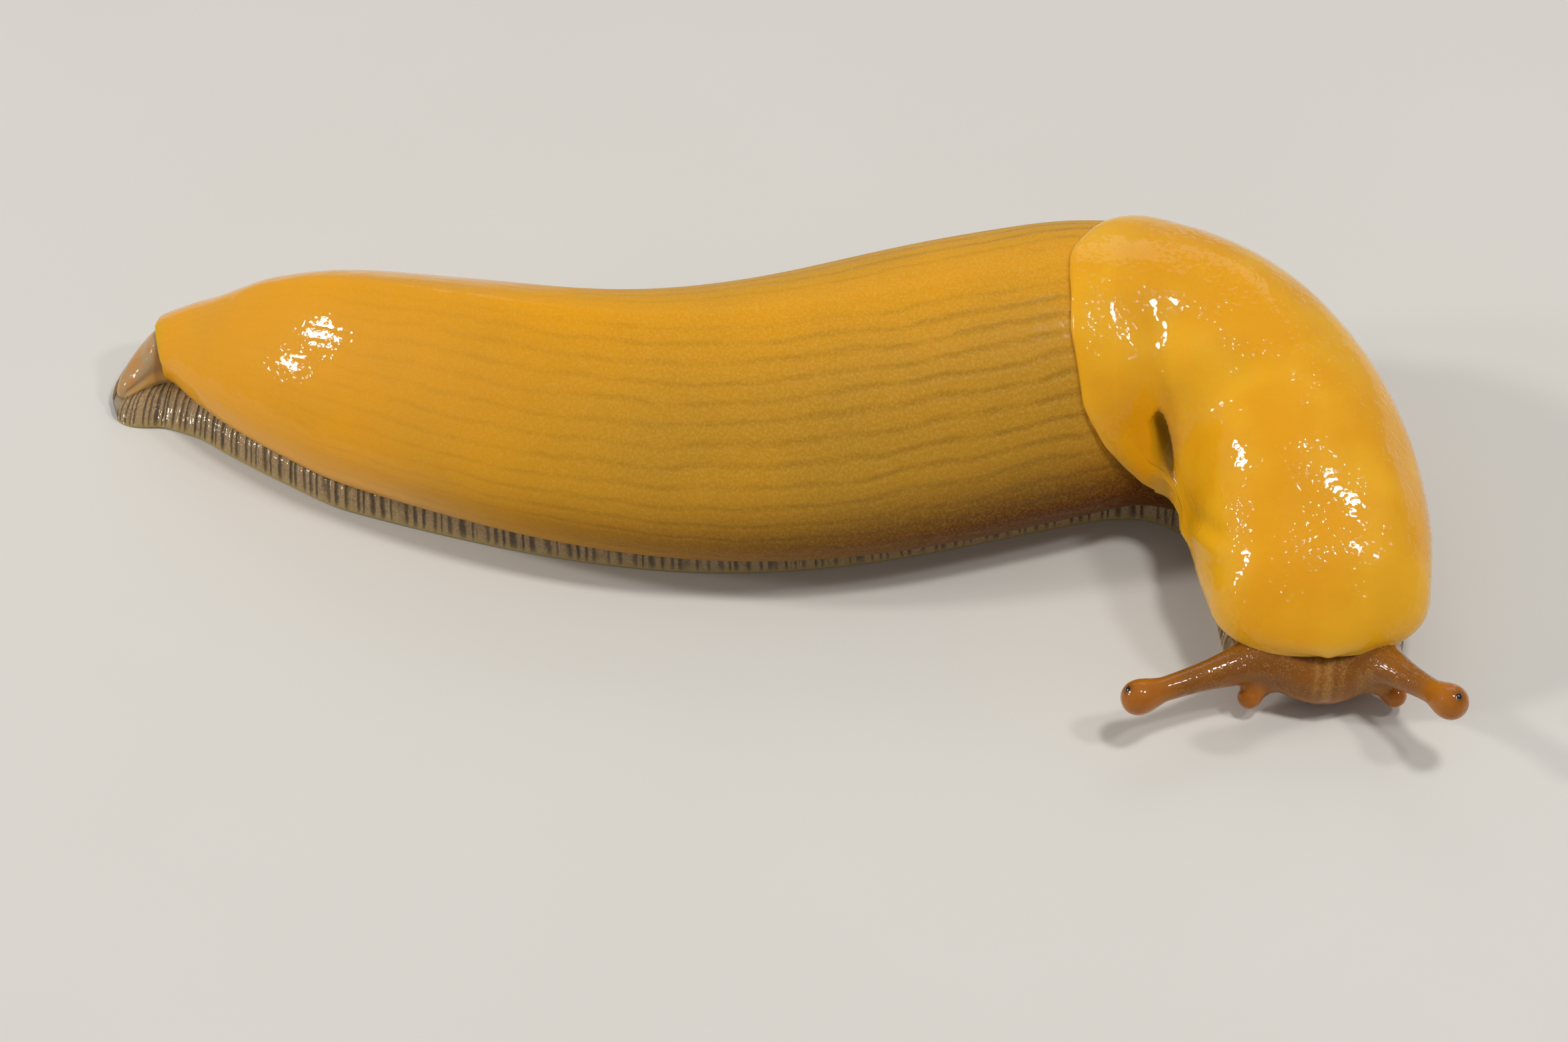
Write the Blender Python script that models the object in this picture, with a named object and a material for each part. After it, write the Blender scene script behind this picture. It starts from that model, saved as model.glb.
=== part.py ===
"""A banana slug at life size, as a still museum model: a yellow slug that crawls with its head turned
back to its right, the tail at -X and the head at +X, facing -Y.

Every shape is worked out in body coordinates, in millimetres: s runs along the spine from the tail tip
to the snout, u goes to the slug's left and v goes up from the floor. place() bends them into the pose,
and build_mesh() turns millimetres into metres.
"""

import math

import bmesh
import bpy
import numpy as np

MM = 0.001
GAP = 0.3  # clear space between two pieces that meet

# The pose: where the tail tip lies, which way it points, and each bend as middle, spread and turn.
BODY_LENGTH = 149.8
TAIL_TIP_X = -65.18
TAIL_TIP_Y = 23.33
TAIL_HEADING = 14.5
BENDS = [(6.0, 12.0, -40.0), (28.0, 50.0, 10.0), (65.0, 46.0, 30.5), (114.0, 41.0, -102.0)]
SPINE_STEPS = 1511

# The lines of the body, each as (place along the spine, size).
RIDGE_HEIGHT = [
    (5.0, 7.2), (10.0, 10.6), (17.0, 15.6), (24.0, 18.7), (34.0, 20.6), (54.0, 22.6), (80.0, 25.2),
    (98.0, 26.0), (112.0, 24.6), (128.0, 20.6), (139.0, 16.4), (146.0, 12.4), (150.0, 10.0),
]
HALF_WIDTH = [
    (5.0, 2.8), (10.0, 5.2), (17.0, 8.0), (30.0, 11.2), (54.0, 13.8), (80.0, 15.0),
    (96.0, 14.5), (108.0, 12.9), (122.0, 11.0), (134.0, 11.1), (142.0, 10.1), (150.0, 8.6),
]
WIDEST_AT = [(5.0, 5.6), (17.0, 7.2), (30.0, 8.0), (54.0, 8.5), (130.0, 8.2), (150.0, 7.4)]
ROUNDNESS = [(5.0, 1.7), (17.0, 1.5), (45.0, 1.55), (66.0, 1.8), (90.0, 2.1), (150.0, 2.3)]
RIDGE_LEAN = [(5.0, 0.6), (17.0, 2.0), (54.0, 1.8), (80.0, 1.5), (100.0, 0.5), (150.0, 0.0)]
WIDEST_SHARE = 0.8  # the share of the way from ridge to lower line at which the flank is widest

# The foot: its half width on the floor, the fringe's height, and how far the fringe flares.
FOOT_TAIL_ROUND = 7.0
FOOT_FRONT_END = 146.0
FOOT_FRONT_ROUND = 7.0
FOOT_HALF_WIDTH = [
    (0.0, 6.0), (6.5, 6.3), (12.0, 6.35), (17.0, 7.4), (23.0, 8.7), (30.0, 10.0), (54.0, 10.2),
    (100.0, 9.7), (120.0, 9.2), (135.0, 8.9), (147.0, 8.2),
]
FRINGE_HEIGHT = [(0.0, 1.5), (4.0, 2.6), (12.0, 3.4), (30.0, 3.6), (80.0, 3.4), (136.0, 2.8), (147.0, 2.0)]
FRINGE_FLARE = [(0.0, 1.8), (6.5, 3.3), (12.0, 2.1), (17.0, 1.3), (30.0, 0.8), (54.0, 0.6), (147.0, 0.6)]
# The foot's tip swings to the slug's right, and its left half narrows, over this length from the tip.
TAIL_SWING = -3.1
TAIL_NARROWING = 0.45
TAIL_SWING_LENGTH = 7.5
FRINGE_STEP = 1.15  # half the spacing of the fringe's folds
FRINGE_FOLD_DEPTH = 0.28

# Where the lengths of foot and trunk part.
FOOT_CUTS = (38.0, 92.0)
TRUNK_CUTS = (38.0, 68.0)
TAIL_START = 5.4
SIDE_LINES = 22  # lines along each flank, every other one the bottom of a furrow
FURROW_DEPTH = 0.2
TRUNK_STEP = 2.9

# The mantle: the height of its lower edge, and its rear margin from left edge (-1) to right edge (1).
MANTLE_EDGE = [(95.0, 7.5), (114.0, 7.4), (130.0, 7.3), (150.0, 7.2)]
NECK_START = 114.0
CAP_MIDDLE = (111.0, 15.0)  # place and height of the middle of the face between trunk and mantle
EDGE_LINE = 18  # the trunk line, counted from the ridge, that meets the mantle's lower edge
EDGE_SHARE = EDGE_LINE / SIDE_LINES
REAR_MARGIN = [
    (-1.0, NECK_START), (-0.75, 109.0), (-0.33, 103.4), (-0.12, 100.2), (0.02, 97.9), (0.19, 96.9),
    (0.36, 96.0), (0.58, 96.0), (0.76, 98.2), (0.88, 102.4), (0.96, 108.6), (1.0, NECK_START),
]
MANTLE_PROUD = 0.7
MANTLE_LIP = 0.3
MANTLE_UNDERCUT = 0.6
MANTLE_SOCKET = 0.08  # how far inwards the mantle's rear rim reaches, as a share of the way to its middle
MANTLE_FRONT_ROUND = 141.0
FRONT_MARGIN = [(-1.0, 146.5), (-0.7, 147.5), (-0.25, 147.7), (0.2, 147.75), (0.65, 147.6), (1.0, 146.8)]
MANTLE_STEP = 2.0
NECK_INSET = 0.8
HEAD_START = 138.4

# The breathing hole in the mantle's right side: its middle, its radii and how far it slants forwards.
BREATHING_HOLE_AT = (117.0, 13.6)
BREATHING_HOLE_RADII = (0.9, 1.0, 2.9)
BREATHING_HOLE_SLANT = -30.0

# The snout, as (place, half width, lowest, highest), and the mouth under it.
SNOUT = [
    (138.4, 9.0, 2.9, 7.2), (142.0, 8.1, 2.7, 7.1), (144.8, 6.8, 2.4, 7.0), (146.5, 5.6, 2.0, 6.8),
    (147.6, 4.6, 1.8, 6.5), (148.4, 3.6, 1.8, 5.9), (148.95, 2.6, 2.1, 5.3), (149.3, 1.5, 2.7, 4.6),
]
LIP_RADII = (0.9, 1.2, 0.7)
LIP_AT = (147.6, 1.0, 2.0)
MOUTH_SLIT = (1.0, 1.8, 0.22)
MOUTH_AT = (148.9, 0.0, 2.4)

# The feelers, each from its root to the middle of its bulb: (s, u, v).
UPPER_ROOTS = {"right": (144.9, -4.4, 4.5), "left": (145.3, 4.0, 4.5)}
UPPER_BULBS = {"right": (150.6, -17.9, 5.7), "left": (155.4, 10.4, 8.6)}
UPPER_RADII = (2.2, 1.16)
UPPER_COLLAR = 3.6  # how far along the feeler its root belongs to the head
BULB_RADIUS = 1.68
LOWER_ROOTS = {"right": (145.8, -4.9, 3.3), "left": (146.2, 4.3, 3.3)}
LOWER_BULBS = {"right": (147.8, -7.05, 2.15), "left": (148.3, 6.6, 2.15)}
LOWER_RADII = (1.15, 1.0)
LOWER_BULB = 1.12
LOWER_COLLAR = 2.0
FEELER_SIDES = 16
FEELER_STEP = 1.3
EYE_RADIUS = 0.4
EYE_DIRECTIONS = {"right": (-0.97, -0.11, 1.2), "left": (0.58, -0.55, 1.33)}

# The gland over the tail tip, as (place, half width, highest).
TAIL_GLAND = [(1.2, 1.0, 2.8), (2.4, 1.9, 3.9), (3.8, 2.5, 5.3), (5.1, 2.7, 6.8)]

COLOURS = {
    "yellow_skin": ((0.78, 0.42, 0.02, 1.0), 0.25),
    "mantle_skin": ((0.82, 0.44, 0.01, 1.0), 0.18),
    "foot_fringe": ((0.30, 0.24, 0.12, 1.0), 0.3),
    "head_skin": ((0.42, 0.17, 0.03, 1.0), 0.3),
    "eye_black": ((0.01, 0.01, 0.01, 1.0), 0.15),
    "gland_flesh": ((0.55, 0.36, 0.12, 1.0), 0.25),
}


def smoothstep(x):
    """0 below 0, 1 above 1, and a smooth S between."""
    x = np.clip(x, 0.0, 1.0)
    return x * x * (3.0 - 2.0 * x)


def profile(s, stations):
    """A smooth line through stations that never overshoots them (a monotone cubic)."""
    at, size = np.array(stations, float).T
    step = np.diff(at)
    rise = np.diff(size) / step
    slope = np.zeros(len(at))
    slope[0], slope[-1] = rise[0], rise[-1]
    for i in range(1, len(at) - 1):
        if rise[i - 1] * rise[i] > 0:
            before = step[i - 1] + 2.0 * step[i]
            after = 2.0 * step[i - 1] + step[i]
            slope[i] = (before + after) / (before / rise[i - 1] + after / rise[i])
    s = np.clip(s, at[0], at[-1])
    i = np.clip(np.searchsorted(at, s) - 1, 0, len(at) - 2)
    t = (s - at[i]) / step[i]
    start = (1 + 2 * t) * (1 - t) ** 2 * size[i] + t * (1 - t) ** 2 * step[i] * slope[i]
    end = t**2 * (3 - 2 * t) * size[i + 1] + t**2 * (t - 1) * step[i] * slope[i + 1]
    return start + end


def make_spine():
    """The spine on the floor: s, x, y and heading, with the heading turned by each bend in turn."""
    s = np.linspace(-2.0, BODY_LENGTH + 8.0, SPINE_STEPS)
    heading = np.full(len(s), math.radians(TAIL_HEADING))
    for middle, spread, turn in BENDS:
        heading += math.radians(turn) * smoothstep((s - middle) / spread + 0.5)
    step = s[1] - s[0]
    x = np.cumsum(np.cos(heading)) * step
    y = np.cumsum(np.sin(heading)) * step
    x += TAIL_TIP_X - np.interp(0.0, s, x)
    y += TAIL_TIP_Y - np.interp(0.0, s, y)
    return s, x, y, heading


SPINE = make_spine()


def place(s, u, v):
    """World millimetres of body coordinates."""
    s, u, v = np.broadcast_arrays(np.asarray(s, float), u, v)
    along, x, y, heading = SPINE
    turn = np.interp(s, along, heading)
    return np.stack(
        [np.interp(s, along, x) - np.sin(turn) * u, np.interp(s, along, y) + np.cos(turn) * u, v], axis=-1
    )


def crowding(s, u):
    """How long a millimetre of spine is at u: less on the inside of a bend, so gaps there are widened."""
    along, _, _, heading = SPINE
    bend = np.interp(s, along, np.gradient(heading, along))
    return np.maximum(1.0 - bend * u, 0.25)


def foot_half_width(s):
    """The sole's outline: straight sides with an elliptic end at the tail and at the front."""
    tail = np.clip(1.0 - s / FOOT_TAIL_ROUND, 0.0, 1.0)
    front = np.clip((s - FOOT_FRONT_END + FOOT_FRONT_ROUND) / FOOT_FRONT_ROUND, 0.0, 1.0)
    ends = np.maximum(1.0 - tail**2.2, 0.0) * np.maximum(1.0 - front**2.4, 0.0)
    return profile(s, FOOT_HALF_WIDTH) * np.sqrt(ends)


def groove_half_width(s):
    """Half the width at the groove between fringe and flank."""
    half = foot_half_width(s)
    return half - profile(s, FRINGE_FLARE) * np.minimum(half / 4.0, 1.0)


def swung(s, u):
    """u by the foot's tip, moved to the right and narrowed on the left by a square law of the way to it."""
    share = np.clip(1.0 - s / TAIL_SWING_LENGTH, 0.0, 1.0) ** 2
    return np.where(u > 0.0, u * (1.0 - TAIL_NARROWING * share), u) + TAIL_SWING * share


def flank_foot(s):
    """Half the trunk's width at its lowest line."""
    straight = np.maximum(profile(s, FOOT_HALF_WIDTH) - profile(s, FRINGE_FLARE), 1.0)
    return straight * smoothstep(0.35 + (s - TAIL_START) / 12.0)


def flank(s, q, grow=0.0):
    """(u, v) on the flank and back: q is -1 at the left lower line, 0 on the ridge and 1 at the right.

    The lower quarter is an ellipse from the foot's groove out to the widest line, the upper one a
    superellipse up to the ridge, which leans towards the left."""
    low = profile(s, FRINGE_HEIGHT) + GAP
    widest = profile(s, WIDEST_AT)
    half = profile(s, HALF_WIDTH) + grow
    ridge = profile(s, RIDGE_HEIGHT) + grow
    power = 2.0 / profile(s, ROUNDNESS)
    side = -np.sign(q)
    share = np.abs(q)
    up = np.clip(share / WIDEST_SHARE, 0.0, 1.0) * math.pi / 2
    down = np.clip((share - WIDEST_SHARE) / (1.0 - WIDEST_SHARE), 0.0, 1.0) * math.pi / 2
    upper_u = half * np.abs(np.sin(up)) ** power
    upper_v = widest + (ridge - widest) * np.abs(np.cos(up)) ** power
    inner = flank_foot(s)
    lower_u = inner + (half - inner) * np.cos(down)
    lower_v = widest - (widest - low) * np.sin(down)
    above = share <= WIDEST_SHARE
    v = np.where(above, upper_v, lower_v)
    lean = profile(s, RIDGE_LEAN) * (v / ridge) ** 2
    return side * np.where(above, upper_u, lower_u) + lean, v


def share_at_height(s, height):
    """The |q| at which the flank passes a height, found on a fine sampling of q."""
    q = np.linspace(0.0, 1.0, 401)
    _, v = flank(np.full(len(q), float(s)), q)
    return float(np.interp(-height, -v, q))


def build_mesh(name, points, faces, material):
    """One closed object from world millimetres, with its faces turned outwards."""
    mesh = bpy.data.meshes.new(name)
    mesh.from_pydata((np.asarray(points) * MM).tolist(), [], faces)
    shape = bmesh.new()
    shape.from_mesh(mesh)
    bmesh.ops.recalc_face_normals(shape, faces=shape.faces)
    shape.to_mesh(mesh)
    shape.free()
    mesh.shade_smooth()
    mesh.set_sharp_from_angle(angle=math.radians(40.0))
    mesh.materials.append(bpy.data.materials[material])
    made = bpy.data.objects.new(name, mesh)
    bpy.context.scene.collection.objects.link(made)
    return made


def skin_rings(rings):
    """Quads between neighbouring rings of one length."""
    count = len(rings[0])
    faces = []
    for i in range(len(rings) - 1):
        for k in range(count):
            after = (k + 1) % count
            faces.append((i * count + k, i * count + after, (i + 1) * count + after, (i + 1) * count + k))
    return faces


def fan(ring_start, members, centre):
    """Triangles from neighbouring members of a ring to one centre point."""
    return [
        (ring_start + members[i], ring_start + members[(i + 1) % len(members)], centre)
        for i in range(len(members))
    ]


def loft(name, rings, material, start_centre=None, end_centre=None):
    """Rings joined into a tube, with each end closed by a fan to its centre."""
    count = len(rings[0])
    points = [p for ring in rings for p in ring]
    centres = [
        np.mean(rings[0], axis=0) if start_centre is None else start_centre,
        np.mean(rings[-1], axis=0) if end_centre is None else end_centre,
    ]
    faces = skin_rings(rings)
    faces += fan(0, range(count), len(points))
    faces += fan((len(rings) - 1) * count, range(count), len(points) + 1)
    return build_mesh(name, points + centres, faces, material)


def make_materials():
    """One Principled material for each finish."""
    for name, (colour, roughness) in COLOURS.items():
        material = bpy.data.materials.new(name)
        material.use_nodes = True
        shader = material.node_tree.nodes["Principled BSDF"]
        shader.inputs["Base Color"].default_value = colour
        shader.inputs["Roughness"].default_value = roughness
        shader.inputs["Metallic"].default_value = 0.0


def foot_ring(s, fold):
    """The sole and fringe at s: flat below, flared at the sides, and flat on top under the trunk."""
    half = foot_half_width(s) - fold * FRINGE_FOLD_DEPTH
    groove = np.minimum(groove_half_width(s), half - 0.15)
    height = profile(s, FRINGE_HEIGHT)
    halfway = 0.45 * half + 0.55 * groove
    left = [(0.96 * half, 0.0), (half, 0.22 * height), (halfway, 0.72 * height), (groove, height)]
    right = [(-u, v) for u, v in reversed(left)]
    outline = [*left, (0.0, height), *right, (0.0, 0.0)]
    return np.array([place(s, swung(s, u), v) for u, v in outline])


def make_foot():
    """The foot in three lengths, its fringe in upright folds."""
    ends = [0.35, *FOOT_CUTS, FOOT_FRONT_END - 0.25]
    names = ["foot_tail", "foot_middle", "foot_front"]
    for name, start, end in zip(names, ends[:-1], ends[1:]):
        start += GAP / 2 if start in FOOT_CUTS else 0.0
        end -= GAP / 2 if end in FOOT_CUTS else 0.0
        stations = np.linspace(start, end, 2 * round((end - start) / (2 * FRINGE_STEP)) + 1)
        rings = [foot_ring(s, i % 2) for i, s in enumerate(stations)]
        loft(name, rings, "foot_fringe")


def trunk_shares():
    """The q of each line of the trunk, from the left lower line over the ridge to the right one."""
    return np.linspace(-1.0, 1.0, 2 * SIDE_LINES + 1)


def grooved(q):
    """How far each line is let in: every other line is the bottom of a furrow, but not by the ridge."""
    lines = np.arange(len(q))
    furrow = (lines % 2 == 1) & (np.abs(q) > 0.06) & (np.abs(q) < 0.97)
    return np.where(furrow, -FURROW_DEPTH, 0.0)


def trunk_ring(s, fade=1.0):
    """The trunk at s, which may differ from line to line, closed by a flat underside."""
    q = trunk_shares()
    u, v = flank(s, q, grooved(q) * fade)
    low = np.max(v[[0, -1]])
    middle = place(np.mean(s[[0, -1]]), 0.0, low)
    return np.vstack([place(s, u, v), middle])


def make_trunk():
    """The tail and the trunk in three lengths; the last one ends along the mantle's rear margin."""
    q = trunk_shares()
    ends = [TAIL_START, *TRUNK_CUTS]
    for name, start, end in (("tail", ends[0], ends[1]), ("trunk_rear", ends[1], ends[2])):
        start += GAP / 2 if start in TRUNK_CUTS else 0.0
        stations = np.linspace(start, end - GAP / 2, round((end - start) / TRUNK_STEP) + 1)
        fades = smoothstep((stations - TAIL_START) / 8.0)
        rings = [trunk_ring(np.full(len(q), s), fade) for s, fade in zip(stations, fades)]
        loft(name, rings, "yellow_skin")
    start = TRUNK_CUTS[1] + GAP / 2
    margin = rear_margin(q)
    steps = round((NECK_START - start) / TRUNK_STEP / 1.2)
    rings = [trunk_ring(start + (margin - start) * i / steps) for i in range(steps + 1)]
    count = len(q) + 1
    points = [p for ring in rings for p in ring]
    faces = skin_rings(rings) + fan(0, range(count), len(points))
    points.append(np.mean(rings[0], axis=0))
    above = [k for k in range(len(q)) if abs(q[k]) < EDGE_SHARE + 1e-6]
    below_left = list(range(above[0] + 1))
    below_right = list(range(above[-1], len(q)))
    last = (len(rings) - 1) * count
    edge = len(points)
    points += [place(NECK_START, 0.0, mantle_edge(NECK_START)), upper_cap_centre(0.0), lower_cap_centre(0.0)]
    faces += fan(last, above, edge + 1)[:-1] + fan(last, below_left, edge + 2)[:-1]
    faces += fan(last, below_right + [count - 1] + [0], edge + 2)[:-1]
    faces += [(last + above[-1], edge, edge + 1), (edge, last + above[0], edge + 1)]
    faces += [(last + above[0], edge, edge + 2), (edge, last + above[-1], edge + 2)]
    build_mesh("trunk_front", points, faces, "yellow_skin")


def mantle_edge(s):
    """The height of the mantle's lower edge."""
    return profile(s, MANTLE_EDGE)


def rear_margin(q):
    """Where the trunk ends at each line: along the mantle's rear margin above, at the neck below."""
    return profile(np.clip(q / EDGE_SHARE, -1.0, 1.0), REAR_MARGIN)


def upper_cap_centre(shift):
    """The middle of the face where trunk and mantle meet."""
    return place(CAP_MIDDLE[0] + shift, 0.0, CAP_MIDDLE[1])


def lower_cap_centre(shift):
    """The middle of the face where trunk and neck meet."""
    return place(NECK_START + shift, 0.0, 6.6)


def mantle_ring(s, u, v):
    """A ring from the mantle's left lip over the back to its right lip, closed by its flat underside."""
    under = [0, len(s) - 1]
    low = mantle_edge(s[under]) + GAP / 2
    inner = u[under] - np.sign(u[under]) * MANTLE_UNDERCUT
    outline_s = np.concatenate([s[:1], s, s[-1:], [np.mean(s[under])]])
    outline_u = np.concatenate([inner[:1], u, inner[1:], [0.0]])
    outline_v = np.concatenate([low[:1], v, low[1:], [np.mean(low)]])
    return place(outline_s, outline_u, outline_v)


def mantle_skin(s, share, grow):
    """(u, v) of the mantle's skin for each share of the way from the ridge to its lower edge."""
    top = [share_at_height(at, edge + MANTLE_LIP) for at, edge in zip(s, mantle_edge(s))]
    return flank(s, share * np.array(top), grow)


def make_mantle():
    """The smooth shield over the front third, from its rear margin to its blunt front edge."""
    share = np.linspace(-1.0, 1.0, 2 * EDGE_LINE + 1)
    margin = profile(share, REAR_MARGIN)
    u, v = flank(margin, share * EDGE_SHARE)
    around = np.hypot(np.gradient(u), np.gradient(v))
    steepness = np.gradient(margin) * crowding(margin, u) / around
    apart = GAP * np.sqrt(1.0 + steepness**2) / crowding(margin, u)
    inner_s = margin + 2.0 * apart + MANTLE_SOCKET * (CAP_MIDDLE[0] - margin)
    rings = [mantle_ring(inner_s, u * (1.0 - MANTLE_SOCKET), v + MANTLE_SOCKET * (CAP_MIDDLE[1] - v))]
    for ahead, grow in ((0.0, -0.1), (0.7, 0.45), (1.8, MANTLE_PROUD)):
        s = margin + apart + ahead
        rings.append(mantle_ring(s, *flank(s, share * EDGE_SHARE, grow)))
    steps = round((MANTLE_FRONT_ROUND - NECK_START) / MANTLE_STEP)
    start = s
    for i in range(1, steps + 1):
        along = i / steps
        s = start + (MANTLE_FRONT_ROUND - start) * along
        u, v = mantle_skin(s, share, MANTLE_PROUD * (1.0 - 0.7 * smoothstep(along * 2.0)))
        rings.append(mantle_ring(s, u, v))
    front = profile(share, FRONT_MARGIN)
    for end in (0.3, 0.55, 0.75, 0.88, 0.96, 0.995):
        s = MANTLE_FRONT_ROUND + (front - MANTLE_FRONT_ROUND) * end
        u, v = mantle_skin(s, share, 0.3 * MANTLE_PROUD)
        edge = mantle_edge(s)
        lower = (1.0 - end**2.4) ** (1.0 / 2.4)
        rings.append(mantle_ring(s, u * (1.0 - end**4.0) ** (1.0 / 4.0), edge + (v - edge) * lower))
    mantle = loft("mantle", rings, "mantle_skin", start_centre=upper_cap_centre(3.0 * GAP))
    cut_breathing_hole(mantle)


def neck_ring(s):
    """The flanks between foot and mantle at s, flat above and below."""
    top = mantle_edge(s) - GAP / 2
    q_top = share_at_height(s, top)
    q = np.concatenate([np.linspace(-1.0, -q_top, 7), np.linspace(q_top, 1.0, 7)])
    u, v = flank(np.full(len(q), s), q, -NECK_INSET)
    v = np.minimum(v, top)
    outline_u = np.concatenate([u[:7], [0.0], u[7:], [0.0]])
    outline_v = np.concatenate([v[:7], [v[6]], v[7:], [v[0]]])
    return place(s, outline_u, outline_v)


def make_neck():
    """The flesh under the mantle, from the trunk to the head."""
    start = NECK_START + GAP / crowding(NECK_START, -12.0)
    stations = np.linspace(start, HEAD_START - GAP, 18)
    loft("neck", [neck_ring(s) for s in stations], "yellow_skin")


def ellipsoid(name, centre, radii, slant, material, sides=16, levels=10):
    """A closed ellipsoid about a centre in body coordinates, its radii along s, u and v at that place.

    slant tips it about the sideways line, in degrees, so that its top leans forwards."""
    middle = place(*centre)
    turn = heading_at(centre[0])
    tip = math.radians(slant)
    ahead = np.array([math.cos(turn), math.sin(turn), 0.0])
    left = np.array([-math.sin(turn), math.cos(turn), 0.0])
    above = np.array([0.0, 0.0, 1.0])
    forward = ahead * math.cos(tip) - above * math.sin(tip)
    up = above * math.cos(tip) + ahead * math.sin(tip)
    rings = []
    for i in range(1, levels):
        tilt = math.pi * i / levels
        around = np.linspace(0.0, 2 * math.pi, sides, endpoint=False)
        across = np.outer(np.cos(around), left * radii[1]) + np.outer(np.sin(around), up * radii[2])
        rings.append(middle - forward * radii[0] * math.cos(tilt) + math.sin(tilt) * across)
    reach = forward * radii[0]
    return loft(name, rings, material, start_centre=middle - reach, end_centre=middle + reach)


def heading_at(s):
    """The spine's heading at s, in radians."""
    return float(np.interp(s, SPINE[0], SPINE[3]))


def combine(made, others, operation):
    """Joins or cuts made with closed helpers, applies the result, and removes the helpers."""
    helpers = bpy.data.collections.new(made.name + "_helpers")
    bpy.context.scene.collection.children.link(helpers)
    for other in others:
        bpy.context.scene.collection.objects.unlink(other)
        helpers.objects.link(other)
    modifier = made.modifiers.new(operation.lower(), "BOOLEAN")
    modifier.operation = operation
    modifier.operand_type = "COLLECTION"
    modifier.collection = helpers
    modifier.solver = "EXACT"
    bpy.context.view_layer.update()
    graph = bpy.context.evaluated_depsgraph_get()
    result = bpy.data.meshes.new_from_object(made.evaluated_get(graph))
    made.modifiers.clear()
    made.data = result
    for other in others:
        bpy.data.objects.remove(other)
    bpy.data.collections.remove(helpers)
    keep_largest(made)


def keep_largest(made):
    """Leaves only the largest closed surface of an object."""
    shape = bmesh.new()
    shape.from_mesh(made.data)
    left = set(shape.faces)
    islands = []
    while left:
        queue = [left.pop()]
        island = list(queue)
        while queue:
            for edge in queue.pop().edges:
                for face in edge.link_faces:
                    if face in left:
                        left.remove(face)
                        queue.append(face)
                        island.append(face)
        islands.append(island)
    islands.sort(key=lambda island: sum(face.calc_area() for face in island))
    for island in islands[:-1]:
        bmesh.ops.delete(shape, geom=island, context="FACES")
    shape.to_mesh(made.data)
    shape.free()


def cut_breathing_hole(mantle):
    """The breathing hole: a hollow let into the mantle's right side."""
    s, v = BREATHING_HOLE_AT
    u, _ = flank(np.array([s]), np.array([share_at_height(s, v)]), 0.5)
    middle = (s, float(u[0]), v)
    hollow = ellipsoid("hollow", middle, BREATHING_HOLE_RADII, BREATHING_HOLE_SLANT, "mantle_skin", 12, 8)
    combine(mantle, [hollow], "DIFFERENCE")


def snout_ring(s, half, lowest, highest):
    """A rounded oblong across the snout."""
    around = np.linspace(0.0, 2 * math.pi, 24, endpoint=False)
    power = 2.0 / 3.0
    u = half * np.sign(np.cos(around)) * np.abs(np.cos(around)) ** power
    middle, reach = (lowest + highest) / 2, (highest - lowest) / 2
    v = middle + reach * np.sign(np.sin(around)) * np.abs(np.sin(around)) ** power
    return place(s, u, v)


def feeler_path(root, bulb, radius):
    """Points along a feeler's straight axis, from its root to the far side of its bulb."""
    start, middle = place(*root), place(*bulb)
    reach = np.linalg.norm(middle - start)
    t = np.linspace(0.0, 1.0 + radius / reach, 41)[:, None]
    return start + (middle - start) * t


def tube(name, path, distances, radii, material):
    """Rings about a path at the given distances along it, closed at both ends."""
    steps = np.linalg.norm(np.diff(path, axis=0), axis=1)
    length = np.concatenate([[0.0], np.cumsum(steps)])
    around = np.linspace(0.0, 2 * math.pi, FEELER_SIDES, endpoint=False)
    rings = []
    for distance, radius in zip(distances, radii):
        at = np.array([np.interp(distance, length, path[:, k]) for k in range(3)])
        near = np.array([np.interp(distance + 0.05, length, path[:, k]) for k in range(3)])
        back = np.array([np.interp(distance - 0.05, length, path[:, k]) for k in range(3)])
        axis = (near - back) / np.linalg.norm(near - back)
        across = np.cross(axis, [0.0, 0.0, 1.0])
        across /= np.linalg.norm(across)
        other = np.cross(across, axis)
        rings.append(at + radius * (np.outer(np.cos(around), across) + np.outer(np.sin(around), other)))
    return loft(name, rings, material)


def feeler_radii(length, radii, bulb, start):
    """Distances and radii of a feeler: a taper from its root, then a bulb that ends it."""
    neck = length - 1.65 * bulb
    stalk = np.linspace(start, neck, max(2, round((neck - start) / FEELER_STEP) + 1))
    taper = (stalk - start) / (neck - start)
    thick = radii[1] + (radii[0] - radii[1]) * (1.0 - taper) ** 2.6
    turn = np.radians([118.0, 90.0, 62.0, 38.0, 16.0])
    centre = length - bulb
    return (
        np.concatenate([stalk, centre + bulb * np.cos(turn)]),
        np.concatenate([thick, bulb * np.sin(turn)]),
    )


def path_length(path):
    """The length of a path of points."""
    return float(np.sum(np.linalg.norm(np.diff(path, axis=0), axis=1)))


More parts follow.
